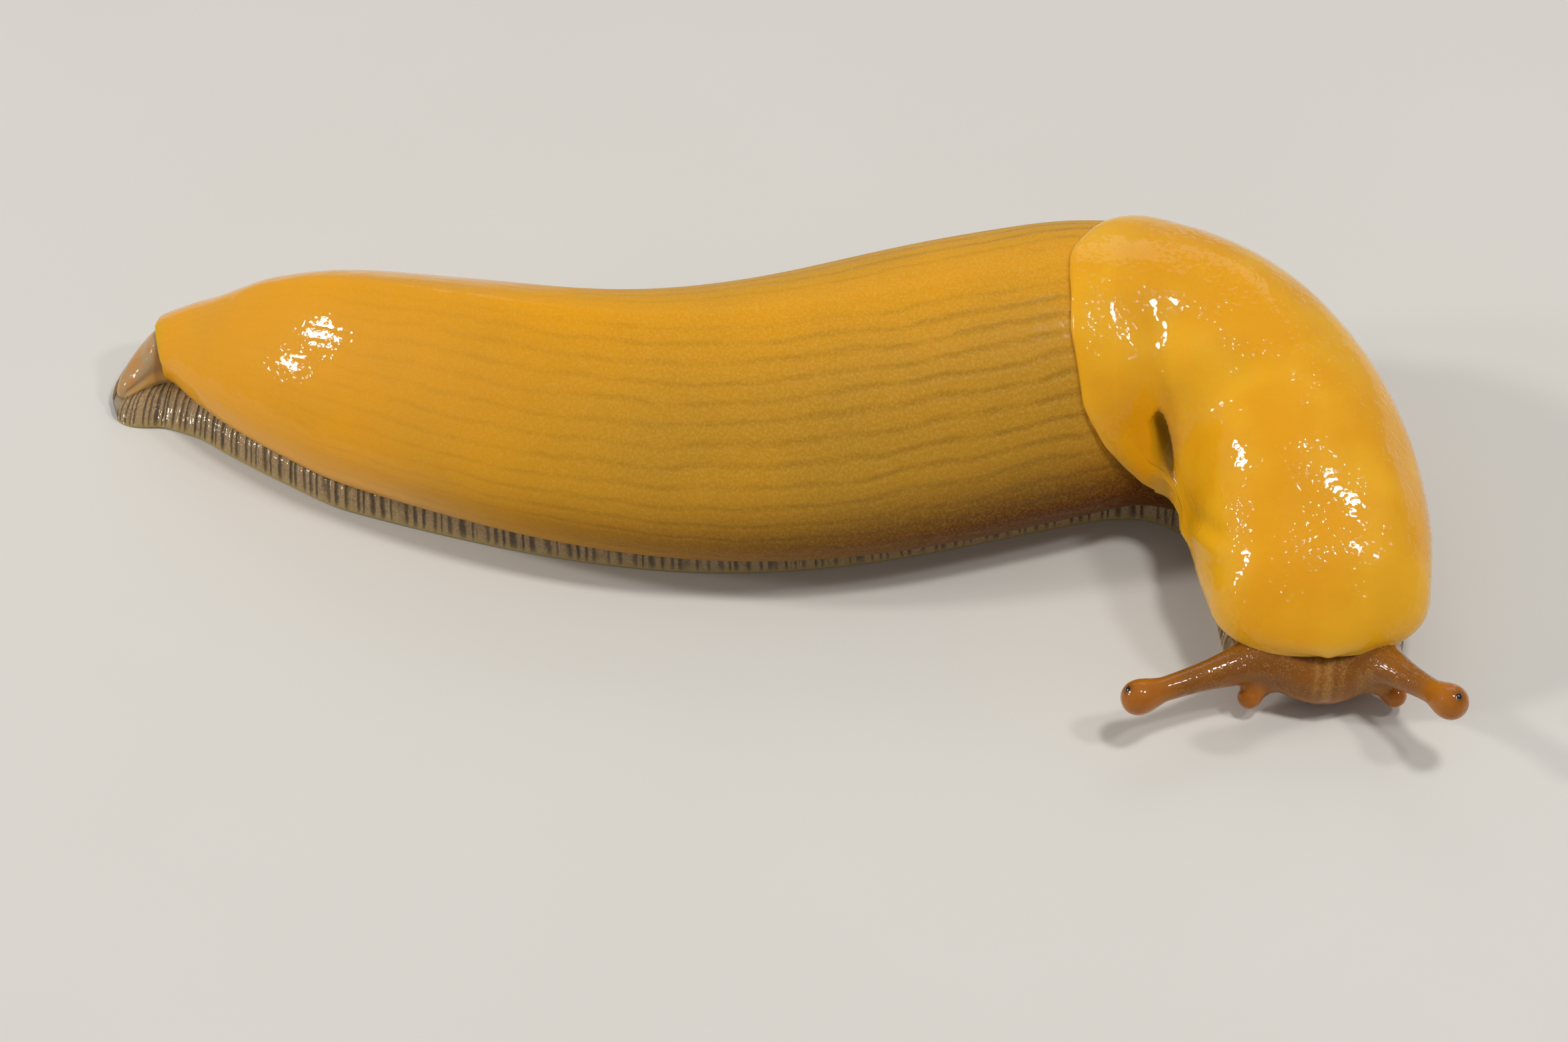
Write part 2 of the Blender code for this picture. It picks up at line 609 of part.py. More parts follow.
def make_head_and_feelers():
    """The snout with its lips and mouth, and the four feelers, each on a short collar of the head."""
    head = loft("head", [snout_ring(*line) for line in SNOUT], "head_skin")
    pieces = []
    for side, u in (("right", -LIP_AT[1]), ("left", LIP_AT[1])):
        lip_middle = (LIP_AT[0], u, LIP_AT[2])
        pieces.append(ellipsoid("lip_" + side, lip_middle, LIP_RADII, 0.0, "head_skin", 12, 8))
        upper = feeler_path(UPPER_ROOTS[side], UPPER_BULBS[side], BULB_RADIUS)
        lower = feeler_path(LOWER_ROOTS[side], LOWER_BULBS[side], LOWER_BULB)
        for kind, path, radii, bulb, collar in (
            ("upper", upper, UPPER_RADII, BULB_RADIUS, UPPER_COLLAR),
            ("lower", lower, LOWER_RADII, LOWER_BULB, LOWER_COLLAR),
        ):
            distances, thick = feeler_radii(path_length(path), radii, bulb, 0.05)
            root = np.append(distances[distances < collar - 0.2], collar)
            thick_root = np.interp(root, distances, thick)
            pieces.append(tube(f"collar_{kind}_{side}", path, root, thick_root, "head_skin"))
            beyond = np.append(collar + GAP, distances[distances > collar + GAP + 0.2])
            distances, thick = beyond, np.interp(beyond, distances, thick)
            feeler = tube(f"tentacle_{kind}_{side}", path, distances, thick, "head_skin")
            if kind == "upper":
                set_eye(side, feeler, place(*UPPER_BULBS[side]))
    combine(head, pieces, "UNION")
    slit = ellipsoid("mouth_slit", MOUTH_AT, MOUTH_SLIT, 0.0, "head_skin", 12, 8)
    combine(head, [slit], "DIFFERENCE")


def ball(name, centre, radius, material, sides=14, levels=9):
    """A closed sphere about a world point."""
    rings = []
    for i in range(1, levels):
        tilt = math.pi * i / levels
        around = np.linspace(0.0, 2 * math.pi, sides, endpoint=False)
        ring = np.stack([np.cos(around), np.sin(around), np.full(sides, 1.0 / math.tan(tilt))], axis=-1)
        rings.append(centre + radius * math.sin(tilt) * ring)
    up = np.array([0.0, 0.0, radius])
    return loft(name, rings, material, start_centre=centre + up, end_centre=centre - up)


def set_eye(side, feeler, bulb_centre):
    """The eye, a black bead sunk in a cup in the bulb's skin."""
    direction = np.array(EYE_DIRECTIONS[side])
    direction /= np.linalg.norm(direction)
    centre = bulb_centre + direction * (BULB_RADIUS - 0.2)
    cup = ball("eye_cup_" + side, centre, EYE_RADIUS + GAP, "head_skin", 12, 7)
    combine(feeler, [cup], "DIFFERENCE")
    ball("eye_" + side, centre, EYE_RADIUS, "eye_black")


def gland_ring(s, half, highest):
    """An arch over the tail tip, flat where it lies over the foot."""
    low = profile(s, FRINGE_HEIGHT) + GAP
    rise = np.linspace(0.0, math.pi, 13)
    u = half * np.cos(rise)
    v = low + (highest - low) * np.sin(rise)
    return place(s, swung(s, np.append(u, 0.0)), np.append(v, low))


def make_tail_gland():
    """The pale gland in the pore between the tail's end and the foot's tip."""
    loft("tail_gland", [gland_ring(*line) for line in TAIL_GLAND], "gland_flesh")


def main():
    """Clears the scene and builds every node."""
    for old in list(bpy.data.objects):
        bpy.data.objects.remove(old)
    make_materials()
    make_foot()
    make_trunk()
    make_mantle()
    make_neck()
    make_head_and_feelers()
    make_tail_gland()


main()
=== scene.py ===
"""The looks of a banana slug at life size, as a still museum model: one wet skin over its flesh, two eyes,
and a plain pale stage.

Every shape is worked out in body coordinates, in millimetres: s runs along the spine from the tail tip to
the snout, u goes to the slug's left and v goes up from the floor. place() bends them into the pose. On the
trunk q is the share of the way down a flank: 0 on the ridge, 1 at the right lower line, -1 at the left one.
"""

import math
from types import SimpleNamespace

import bpy
import numpy as np
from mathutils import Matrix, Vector


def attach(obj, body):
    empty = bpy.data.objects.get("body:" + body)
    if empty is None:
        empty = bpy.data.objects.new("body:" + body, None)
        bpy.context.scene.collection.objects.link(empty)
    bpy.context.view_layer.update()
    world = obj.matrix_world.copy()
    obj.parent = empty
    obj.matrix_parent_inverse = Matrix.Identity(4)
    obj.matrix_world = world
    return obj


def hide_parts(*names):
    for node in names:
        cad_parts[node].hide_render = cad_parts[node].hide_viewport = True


bl_info = {
    "name": "Banana slug",
    "version": (1, 0, 0),
    "blender": (4, 5, 0),
    "location": "3D View > Sidebar > Slug",
    "description": "Builds the skin, the eyes and the stage of a life-size banana slug",
    "category": "Object",
}

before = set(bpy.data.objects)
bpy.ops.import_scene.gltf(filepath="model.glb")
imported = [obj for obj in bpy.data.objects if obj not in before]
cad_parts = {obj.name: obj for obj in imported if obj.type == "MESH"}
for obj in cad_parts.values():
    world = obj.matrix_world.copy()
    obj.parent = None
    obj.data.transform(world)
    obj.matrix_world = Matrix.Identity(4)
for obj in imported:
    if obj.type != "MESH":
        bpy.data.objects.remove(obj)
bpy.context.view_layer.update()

MM = 0.001

# The pose: where the tail tip lies, which way it points, and each bend as middle, spread and turn.
BODY_LENGTH = 149.8
TAIL_TIP = (-65.18, 23.33)
TAIL_HEADING = 14.5
BENDS = [(6.0, 12.0, -40.0), (28.0, 50.0, 10.0), (65.0, 46.0, 30.5), (114.0, 41.0, -102.0)]

# The lines of the body, each as (place along the spine, size).
RIDGE_HEIGHT = [
    (5.0, 7.2), (10.0, 10.6), (17.0, 15.6), (24.0, 18.7), (34.0, 20.6), (54.0, 22.6), (80.0, 25.2),
    (98.0, 26.0), (112.0, 24.6), (128.0, 20.6), (139.0, 16.4), (146.0, 12.4), (150.0, 10.0),
]
HALF_WIDTH = [
    (5.0, 2.8), (10.0, 5.2), (17.0, 8.0), (30.0, 11.2), (54.0, 13.8), (80.0, 15.0),
    (96.0, 14.5), (108.0, 12.9), (122.0, 11.0), (134.0, 11.1), (142.0, 10.1), (150.0, 8.6),
]
WIDEST_AT = [(5.0, 5.6), (17.0, 7.2), (30.0, 8.0), (54.0, 8.5), (130.0, 8.2), (150.0, 7.4)]
ROUNDNESS = [(5.0, 1.7), (17.0, 1.5), (45.0, 1.55), (66.0, 1.8), (90.0, 2.1), (150.0, 2.3)]
RIDGE_LEAN = [(5.0, 0.6), (17.0, 2.0), (54.0, 1.8), (80.0, 1.5), (100.0, 0.5), (150.0, 0.0)]
# How far down a flank its widest line lies, and the mantle's edge where that runs on the trunk, as |q|.
WIDEST_SHARE = 0.8
EDGE_SHARE = 0.818

# The foot: its half width on the floor, the fringe's height, and how far the fringe flares.
FOOT_TAIL_ROUND = 7.0
FOOT_FRONT_END = 146.0
FOOT_FRONT_ROUND = 7.0
FOOT_HALF_WIDTH = [
    (0.0, 6.0), (6.5, 6.3), (12.0, 6.35), (17.0, 7.4), (23.0, 8.7), (30.0, 10.0), (54.0, 10.2),
    (100.0, 9.7), (120.0, 9.2), (135.0, 8.9), (147.0, 8.2),
]
FRINGE_HEIGHT = [(0.0, 1.5), (4.0, 2.6), (12.0, 3.4), (30.0, 3.6), (80.0, 3.4), (136.0, 2.8), (147.0, 2.0)]
FRINGE_FLARE = [(0.0, 1.8), (6.5, 3.3), (12.0, 2.1), (17.0, 1.3), (30.0, 0.8), (54.0, 0.6), (147.0, 0.6)]
# The foot's tip swings to the slug's right, and its left half narrows, over this length from the tip.
TAIL_SWING = -3.1
TAIL_NARROWING = 0.45
TAIL_SWING_LENGTH = 7.5
# Where the trunk begins, above the pore at the tail's tip.
TAIL_START = 5.4
# The trunk's first rings roll the lip over the tail's pore: (place, share of the full section).
TAIL_LIP = [
    (7.6, 0.3), (6.6, 0.7), (5.95, 0.86), (5.62, 0.92), (5.44, 0.95), (5.34, 0.97), (5.3, 0.99),
    (5.33, 1.005), (5.45, 1.012), (5.66, 1.01), (5.95, 1.006), (6.3, 1.002),
]
# The fringe's bars fan out round the tip from this place, and lie closer over this length.
FAN_CENTRE = 8.0
FAN_BARS = 9.0

# The mantle: the height of its lower edge, and its rear margin from left edge (-1) to right edge (1).
MANTLE_EDGE = [(95.0, 7.5), (114.0, 7.4), (130.0, 7.3), (150.0, 7.2)]
NECK_START = 114.0
REAR_MARGIN = [
    (-1.0, 114.0), (-0.75, 109.0), (-0.33, 103.4), (-0.12, 100.2), (0.02, 97.9), (0.19, 96.9),
    (0.36, 96.0), (0.58, 96.0), (0.76, 98.2), (0.88, 102.4), (0.96, 108.6), (1.0, 114.0),
]
MANTLE_FRONT_ROUND = 141.0
FRONT_MARGIN = [(-1.0, 147.75), (-0.5, 148.05), (0.0, 148.2), (0.5, 148.0), (1.0, 147.65)]
# How square the front edge is, as a superellipse's power, from above and from the side, and the share of
# the mantle's height that is left there.
FRONT_ROUNDNESS = (2.5, 2.4)
FRONT_PROUD = 0.3
# The roll of its rear rim, as (forwards, outwards), and of its lower rim, as (inwards, down).
REAR_ROLL = [
    (2.2, -1.6), (0.9, -0.9), (0.3, -0.45), (-0.05, -0.1), (-0.24, 0.12), (-0.3, 0.3), (-0.24, 0.46),
    (-0.08, 0.6), (0.16, 0.71), (0.5, 0.79), (0.95, 0.83), (1.5, 0.82), (2.1, 0.78), (2.8, 0.73),
]
LOWER_ROLL = [
    (-0.03, 0.2), (-0.12, 0.42), (-0.32, 0.58), (-0.6, 0.62), (-0.95, 0.55), (-1.8, 0.35), (-3.6, 0.2),
]

# The breathing hole's lip in the mantle's right side, as (place, share of the way down).
BREATHING_LIP = [(111.4, 0.54), (114.6, 0.562), (117.8, 0.61), (119.7, 0.665), (120.4, 0.71), (120.7, 0.75)]

# How deep the hole goes behind its lip, and how far the skin before it leans back over it and stands proud.
HOLE_DEPTH = 1.3
HOLE_LEAN = 0.55
HOLE_RAISED = 0.22

# The fold that runs on from the breathing hole, first along the mantle's edge and then up over its front.
MANTLE_FOLD = [(121.0, 0.765), (123.5, 0.8), (128.8, 0.765), (134.0, 0.63), (137.6, 0.46), (138.6, 0.28)]
FOLD_DEPTH = 0.3
FOLD_SWELLING = 0.35
# About how many millimetres one unit of q spans on the mantle.
MM_PER_Q = 26.0

# Swellings and hollows of the mantle: (place, q, length, width in q, height).
MANTLE_BUMPS = [
    (104.0, 0.44, 5.5, 0.16, 0.8), (108.5, 0.25, 3.6, 0.1, -0.6), (114.0, 0.36, 3.4, 0.1, 0.45),
    (113.0, 0.05, 5.0, 0.12, -0.5), (121.8, 0.21, 2.6, 0.09, -0.6), (118.0, 0.42, 4.5, 0.13, 0.35),
    (128.5, 0.36, 3.4, 0.17, 0.5), (131.5, 0.12, 3.6, 0.16, 0.4), (136.5, -0.3, 3.4, 0.11, 0.45),
    (138.5, 0.05, 2.6, 0.13, -0.35), (100.5, 0.1, 3.4, 0.2, 0.35), (122.0, -0.22, 6.0, 0.14, -0.4),
    (130.0, -0.42, 4.0, 0.12, -0.4), (142.5, -0.2, 2.2, 0.16, 0.3), (142.5, 0.3, 2.4, 0.14, 0.3),
]

# The snout, as (place, half width, lowest, highest), from under the mantle to the mouth.
SNOUT = [
    (134.0, 9.6, 2.6, 7.4), (138.4, 9.0, 2.6, 7.2), (142.0, 8.1, 2.5, 7.1), (144.8, 6.8, 2.3, 7.0),
    (146.5, 5.6, 2.0, 6.8), (147.6, 4.6, 1.75, 6.5), (148.4, 3.6, 1.75, 5.9), (148.95, 2.6, 2.0, 5.3),
    (149.3, 1.5, 2.6, 4.6), (149.45, 0.02, 3.5, 3.7),
]
# Its sections' power as superellipses, and how far below level its sides turn before the underside begins.
SNOUT_ROUNDNESS = 2.3
SNOUT_TURN = math.radians(52.0)
# From here on the skin is the head's: in colour, and where the feelers melt into it.
HEAD_START = 136.0
# The ribs across the face: (u, half width, height, paleness).
FACE_RIBS = [
    (-1.15, 0.36, 0.1, 0.75), (-0.05, 0.5, 0.18, 1.0), (1.15, 0.34, 0.08, 0.5), (2.95, 0.5, 0.1, 0.6),
]
# The two lips and the small flap by the left one, each (u, v, half width, half height, how far it swells),
# and the slit of the mouth.
LIPS = [(-1.0, 2.0, 0.9, 0.6, 0.08), (1.0, 2.0, 0.9, 0.6, 0.08)]
LIP_FLAP = (4.1, 3.4, 0.7, 0.7, 0.3)
MOUTH_HALF_WIDTH = 1.7
MOUTH_HALF_HEIGHT = 0.22
MOUTH_AT = 2.2
MOUTH_DEPTH = 0.3

# The feelers, each from its root to the middle of its bulb: (s, u, v).
UPPER_ROOTS = {"right": (144.9, -4.4, 4.9), "left": (145.3, 4.0, 4.9)}
UPPER_BULBS = {"right": (150.6, -17.9, 5.7), "left": (155.4, 10.4, 8.6)}
LOWER_ROOTS = {"right": (145.8, -4.9, 3.3), "left": (146.2, 4.3, 3.3)}
LOWER_BULBS = {"right": (147.8, -7.05, 2.15), "left": (148.3, 6.6, 2.15)}
# Each kind's radii at root, stalk and bulb, how fast it tapers, and how far its skin melts into the head's.
FEELER_RADII = {"upper": (3.0, 1.16, 1.68, 2.4, 2.2), "lower": (1.15, 1.0, 1.12, 1.0, 1.2)}
# How many lines and rings each kind's mesh has.
FEELER_GRID = {"upper": (52, 56), "lower": (36, 24)}
EYE_DIRECTIONS = {"right": (-0.97, -0.11, 1.2), "left": (0.58, -0.55, 1.33)}
# Each eye's middle lies this far from its bulb's, and darkens the skin about it over this distance.
EYE_DEPTH = 1.26
EYE_SHADE = 0.56

# The gland over the tail tip, as (place, half width, highest).
TAIL_GLAND = [
    (0.75, 0.05, 1.8), (0.95, 0.8, 2.4), (1.5, 1.5, 3.1), (2.5, 2.1, 4.0), (3.9, 2.6, 5.4),
    (4.7, 2.72, 6.35), (5.4, 2.76, 6.95), (6.4, 2.72, 7.05), (8.2, 2.6, 7.0),
]

# The softboxes: name, place, what each faces, width, height, power and colour. The four small ones give the
# wet skin its bright points of light.
WARM_WHITE = (1.0, 0.985, 0.96)
WHITE = (1.0, 1.0, 1.0)
LIGHTS = [
    ("left", (-0.47, 0.0, 0.36), (0.0, 0.01, 0.01), 0.07, 0.07, 0.92, WARM_WHITE),
    ("low", (-0.54, -0.07, 0.234), (-0.03, 0.01, 0.01), 0.06, 0.06, 0.45, WARM_WHITE),
    ("top", (0.19, -0.08, 0.56), (0.0, 0.01, 0.01), 0.08, 0.08, 1.1, WARM_WHITE),
    ("right", (0.354, -0.115, 0.464), (0.03, 0.0, 0.01), 0.06, 0.06, 0.5, WARM_WHITE),
    ("back", (0.1, 0.6, 0.5), (0.0, 0.0, 0.01), 0.6, 0.3, 0.6, WHITE),
]

# The camera: the place on the floor that it aims at, how far off it stands and how steeply it looks down.
CAMERA_AIM = (0.00208, 0.00488)
CAMERA_DISTANCE = 0.56
CAMERA_ELEVATION = math.radians(45.0)
# The photograph's width in pixels, and how many of them a metre takes up at the camera's aim.
PHOTO_WIDTH = 2359
PHOTO_PIXELS_PER_METRE = 15500

# The kinds of shader node used again and again, and their usual settings. A span's inputs are its value,
# the range that this comes from, and the range that it goes to, which is 0 to 1 if not given. A pattern's
# scale is one over the size of its spots in millimetres.
MATHS = "ShaderNodeMath"
MIX = "ShaderNodeMix"
SPAN = "ShaderNodeMapRange"
NOISE = "ShaderNodeTexNoise"
RGBA = {"data_type": "RGBA", "clamp_factor": True}
# The skin's attributes, and what each of their numbers is called in a material. line is q on the trunk and
# the bar's number on the fringe; along is the place along the spine, and on the fringe the rise.
NUMBER_NAMES = {
    "flow": ("line", "along"),
    # hollow is the breathing hole's depth, which sets its painted shade, and 1 on the tail's gland.
    "zone": ("mantle", "head", "hollow"),
    "face": ("orange", "pale", "by_eye"),
}
SMOOTH = {"interpolation_type": "SMOOTHSTEP"}


def linear(code):
    """The linear colour of an sRGB hex code, with full alpha."""
    parts = np.array([int(code[i : i + 2], 16) for i in (0, 2, 4)]) / 255.0
    light = np.where(parts <= 0.04045, parts / 12.92, ((parts + 0.055) / 1.055) ** 2.4)
    return (*light.tolist(), 1.0)


def smoothstep(x, low=0.0, high=1.0):
    """0 below low, 1 above high, and a smooth S between."""
    x = np.clip((np.asarray(x, float) - low) / (high - low), 0.0, 1.0)
    return x * x * (3.0 - 2.0 * x)


def bell(x, width):
    """A bell curve: 1 at 0, and one over e at the width."""
    return np.exp(-((x / width) ** 2))


def quarter_turn(count, start=0.0):
    """Angles in even steps up to a right angle."""
    return np.linspace(start, math.pi / 2, count)


def unit(vectors):
    """Vectors at length 1."""
    return vectors / np.maximum(np.linalg.norm(vectors, axis=-1, keepdims=True), 1e-9)


def triples(a, b, c):
    """Three arrays or numbers, spread to one shape, as the last axis of one array."""
    return np.stack(np.broadcast_arrays(a, b, c), axis=-1)


def profile(s, stations):
    """A smooth line through stations that never overshoots them: a monotone cubic between each two."""
    at, size = np.array(stations, float).T
    step = np.diff(at)
    rise = np.diff(size) / step
    slope = np.zeros(len(at))
    slope[0], slope[-1] = rise[0], rise[-1]
    before = step[:-1] + 2.0 * step[1:]
    after = 2.0 * step[:-1] + step[1:]
    same = rise[:-1] * rise[1:] > 0
    safe = np.where(rise == 0, 1.0, rise)
    slope[1:-1] = np.where(same, (before + after) / (before / safe[:-1] + after / safe[1:]), 0.0)
    s = np.clip(s, at[0], at[-1])
    i = np.clip(np.searchsorted(at, s) - 1, 0, len(at) - 2)
    t = (s - at[i]) / step[i]
    start = (1 + 2 * t) * (1 - t) ** 2 * size[i] + t * (1 - t) ** 2 * step[i] * slope[i]
    end = t**2 * (3 - 2 * t) * size[i + 1] + t**2 * (t - 1) * step[i] * slope[i + 1]
    return start + end


def make_spine():
    """The spine on the floor: the heading turned by each bend in turn, and its running sum as x and y."""
    s = np.linspace(-2.0, BODY_LENGTH + 8.0, 1511)
    heading = np.full(len(s), math.radians(TAIL_HEADING))
    for middle, spread, turn in BENDS:
        heading += math.radians(turn) * smoothstep((s - middle) / spread + 0.5)
    step = s[1] - s[0]
    x = np.cumsum(np.cos(heading)) * step
    y = np.cumsum(np.sin(heading)) * step
    x += TAIL_TIP[0] - np.interp(0.0, s, x)
    y += TAIL_TIP[1] - np.interp(0.0, s, y)
    return s, x, y, heading


SPINE = make_spine()


def place(s, u, v):
    """World millimetres of body coordinates: along the spine, then u square to it and v up."""
    along, x, y, heading = SPINE
    turn = np.interp(s, along, heading)
    return triples(np.interp(s, along, x) - np.sin(turn) * u, np.interp(s, along, y) + np.cos(turn) * u, v)


def foot_half_width(s):
    """The sole's outline: straight sides with an elliptic end at the tail and at the front."""
    tail = np.clip(1.0 - s / FOOT_TAIL_ROUND, 0.0, 1.0)
    front = np.clip((s - FOOT_FRONT_END + FOOT_FRONT_ROUND) / FOOT_FRONT_ROUND, 0.0, 1.0)
    ends = np.maximum(1.0 - tail**2.2, 0.0) * np.maximum(1.0 - front**2.4, 0.0)
    return profile(s, FOOT_HALF_WIDTH) * np.sqrt(ends)


def groove_half_width(s):
    """Half the width at the groove between fringe and flank."""
    half = foot_half_width(s)
    return half - profile(s, FRINGE_FLARE) * np.minimum(half / 4.0, 1.0)


def swung(s, u):
    """u by the foot's tip, moved to the right and narrowed on the left by a square law of the way to it."""
    share = np.clip(1.0 - s / TAIL_SWING_LENGTH, 0.0, 1.0) ** 2
    return np.where(u > 0.0, u * (1.0 - TAIL_NARROWING * share), u) + TAIL_SWING * share


def flank_foot(s):
    """Half the trunk's width at its lowest line."""
    straight = np.maximum(profile(s, FOOT_HALF_WIDTH) - profile(s, FRINGE_FLARE), 1.0)
    return straight * smoothstep(0.35 + (s - TAIL_START) / 12.0)


def flank(s, q, grow=0.0, sink=0.0):
    """(u, v) on the flank and back: q is -1 at the left lower line, 0 on the ridge and 1 at the right.

    The lower fifth is an ellipse from the foot's groove out to the widest line, the upper part a
    superellipse up to the ridge, which leans towards the left."""
    low = profile(s, FRINGE_HEIGHT) + 0.3 - sink
    widest = profile(s, WIDEST_AT)
    half = profile(s, HALF_WIDTH) + grow
    ridge = profile(s, RIDGE_HEIGHT) + grow
    power = 2.0 / profile(s, ROUNDNESS)
    share = np.abs(q)
    up = np.clip(share / WIDEST_SHARE, 0.0, 1.0) * math.pi / 2
    down = np.clip((share - WIDEST_SHARE) / (1.0 - WIDEST_SHARE), 0.0, 1.0) * math.pi / 2
    upper_u = half * np.abs(np.sin(up)) ** power
    upper_v = widest + (ridge - widest) * np.abs(np.cos(up)) ** power
    inner = flank_foot(s)
    lower_u = inner + (half - inner) * np.cos(down)
    lower_v = widest - (widest - low) * np.sin(down)
    above = share <= WIDEST_SHARE
    v = np.where(above, upper_v, lower_v)
    lean = profile(s, RIDGE_LEAN) * (v / ridge) ** 2
    return -np.sign(q) * np.where(above, upper_u, lower_u) + lean, v


def share_at_height(s, height):
    """The |q| at which the flank passes a height below its widest line: the lower ellipse solved for q."""
    low = profile(s, FRINGE_HEIGHT) + 0.3
    widest = profile(s, WIDEST_AT)
    drop = np.clip((widest - height) / (widest - low), 0.0, 1.0)
    return WIDEST_SHARE + (1.0 - WIDEST_SHARE) * np.arcsin(drop) / (math.pi / 2)


def hermite_rows(table, count, dense=1.0):
    """count rows along a table, smooth through its rows and evenly spaced over its length."""
    rows = np.array(table, float)
    length = np.concatenate([[0.0], np.cumsum(np.linalg.norm(np.diff(rows, axis=0), axis=1))])
    at = length[-1] * np.linspace(0.0, 1.0, count) ** dense
    columns = [profile(at, np.stack([length, column], axis=1)) for column in rows.T]
    return np.stack(columns, axis=1)


def surface_normals(points):
    """Unit normals of a grid of rings, by the cross product of its two directions, turned outwards."""
    along = np.gradient(points, axis=0)
    around = np.roll(points, -1, axis=1) - np.roll(points, 1, axis=1)
    normals = unit(np.cross(around, along))
    outwards = np.sum(normals * (points - points.mean(axis=1, keepdims=True)))
    return normals if outwards > 0 else -normals


def patch(points, flow, zone, face=(0.0, 0.0, 0.0), finish=0):
    """A closed tube of rings with what the skin's colours follow.

    flow is (line or bar number, place or rise, 0); zone is how much of the skin here is mantle, head and
    hollow; face is how orange, how pale and how dark by the eye it is."""
    shape = (*points.shape[:2], 3)
    made = {"points": points, "finish": finish}
    for name, values in (("flow", flow), ("zone", zone), ("face", face)):
        made[name] = np.broadcast_to(values, shape)
    return made


def tube_faces(rings, lines):
    """Quads between neighbouring rings, and a fan of triangles from each end ring to its pole."""
    i, k = np.meshgrid(np.arange(rings - 1), np.arange(lines), indexing="ij")
    after = (k + 1) % lines
    here, ahead = i * lines, (i + 1) * lines
    quads = np.stack([here + k, here + after, ahead + after, ahead + k], axis=-1)
    k = np.arange(lines)
    first = np.stack([(k + 1) % lines, k, np.full(lines, rings * lines)], axis=-1)
    last = (rings - 1) * lines
    second = np.stack([last + k, last + (k + 1) % lines, np.full(lines, rings * lines + 1)], axis=-1)
    return quads.reshape(-1, 4), np.concatenate([first, second])


def enclosed(points, triangles):
    """Six times the volume inside triangles: positive where they face outwards."""
    a, b, c = (points[triangles[:, k]] for k in range(3))
    return float(np.sum(a * np.cross(b, c)))


def patch_object(name, part, materials):
    """An object of one closed patch, in metres, with its faces turned outwards."""
    rings, lines = part["points"].shape[:2]
    points = part["points"].reshape(-1, 3)
    points = np.concatenate([points, part["points"][[0, -1]].mean(axis=1)])
    quads, fans = tube_faces(rings, lines)
    if enclosed(points, np.concatenate([quads[:, [0, 1, 2]], quads[:, [0, 2, 3]], fans])) < 0:
        quads, fans = quads[:, ::-1], fans[:, ::-1]
    mesh = bpy.data.meshes.new(name)
    mesh.from_pydata((points * MM).tolist(), [], quads.tolist() + fans.tolist())
    for key in ("flow", "zone", "face"):
        values = np.concatenate([part[key].reshape(-1, 3), part[key][[0, -1]].mean(axis=1)])
        attribute = mesh.attributes.new(key, "FLOAT_VECTOR", "POINT")
        attribute.data.foreach_set("vector", values.astype(np.float32).ravel())
    for material in materials:
        mesh.materials.append(material)
    mesh.polygons.foreach_set("material_index", np.full(len(mesh.polygons), part["finish"], np.int32))
    made = bpy.data.objects.new(name, mesh)
    bpy.context.scene.collection.objects.link(made)
    return made


def joined_skin(name, patches, materials):
    """One closed skin: the union of closed patches, so that light that enters it meets no wall inside."""
    first, *others = [patch_object(name, part, materials) for part in patches]
    for other in others:
        union = first.modifiers.new("union", "BOOLEAN")
        union.operation, union.solver, union.object = "UNION", "MANIFOLD", other
    graph = bpy.context.evaluated_depsgraph_get()
    mesh = bpy.data.meshes.new_from_object(first.evaluated_get(graph))
    first.modifiers.clear()
    first.data = mesh
    for other in others:
        bpy.data.objects.remove(other)
    number_corners(mesh)
    mesh.shade_smooth()
    return first


def number_corners(mesh):
    """Moves the skin's numbers from points to the corners of faces, so that they change at once at a seam.

    The union's new points, on the lines where patches meet, have no numbers: each of their corners takes the
    mean of its own face's other corners, or where that face has none, of the faces about its point."""
    keys = ("flow", "zone", "face")
    count = len(mesh.vertices)
    columns = np.zeros((3, count * 3), np.float32)
    for key, values in zip(keys, columns):
        mesh.attributes[key].data.foreach_get("vector", values)
        mesh.attributes.remove(mesh.attributes[key])
    numbers = np.concatenate(columns.reshape(3, count, 3), axis=1)
    known = np.abs(numbers).sum(axis=1) > 0
    point = np.zeros(len(mesh.loops), np.int32)
    mesh.loops.foreach_get("vertex_index", point)
    sizes = np.zeros(len(mesh.polygons), np.int32)
    mesh.polygons.foreach_get("loop_total", sizes)
    owner = np.repeat(np.arange(len(sizes)), sizes)
    by_face, face_known = group_means(numbers[point], known[point], owner, len(sizes))
    by_point, _ = group_means(by_face[owner], face_known[owner], point, count)
    filled = np.where(face_known[owner, None], by_face[owner], by_point[point])
    filled = np.where(known[point, None], numbers[point], filled)
    for key, values in zip(keys, np.split(filled, 3, axis=1)):
        attribute = mesh.attributes.new(key, "FLOAT_VECTOR", "CORNER")
        attribute.data.foreach_set("vector", values.astype(np.float32).ravel())


def group_means(values, known, group, count):
    """Each group's mean over its known rows, and which groups have any: sums divided by counts."""
    weights = known.astype(float)
    counts = np.bincount(group, weights, count)
    sums = [np.bincount(group, column * weights, count) for column in values.T]
    return np.stack(sums, axis=1) / np.maximum(counts, 1.0)[:, None], counts > 0


def core_lines():
    """The q of each line over flanks and back, dense by the mantle's edge, and the underside's shares."""
    side = np.concatenate(
        [np.linspace(0.0, 0.785, 47), np.linspace(0.785, 0.855, 10)[1:], np.linspace(0.855, 1.0, 9)[1:]]
    )
    return np.concatenate([-side[::-1], side[1:]]), np.linspace(1.0, -1.0, 13)[1:-1]


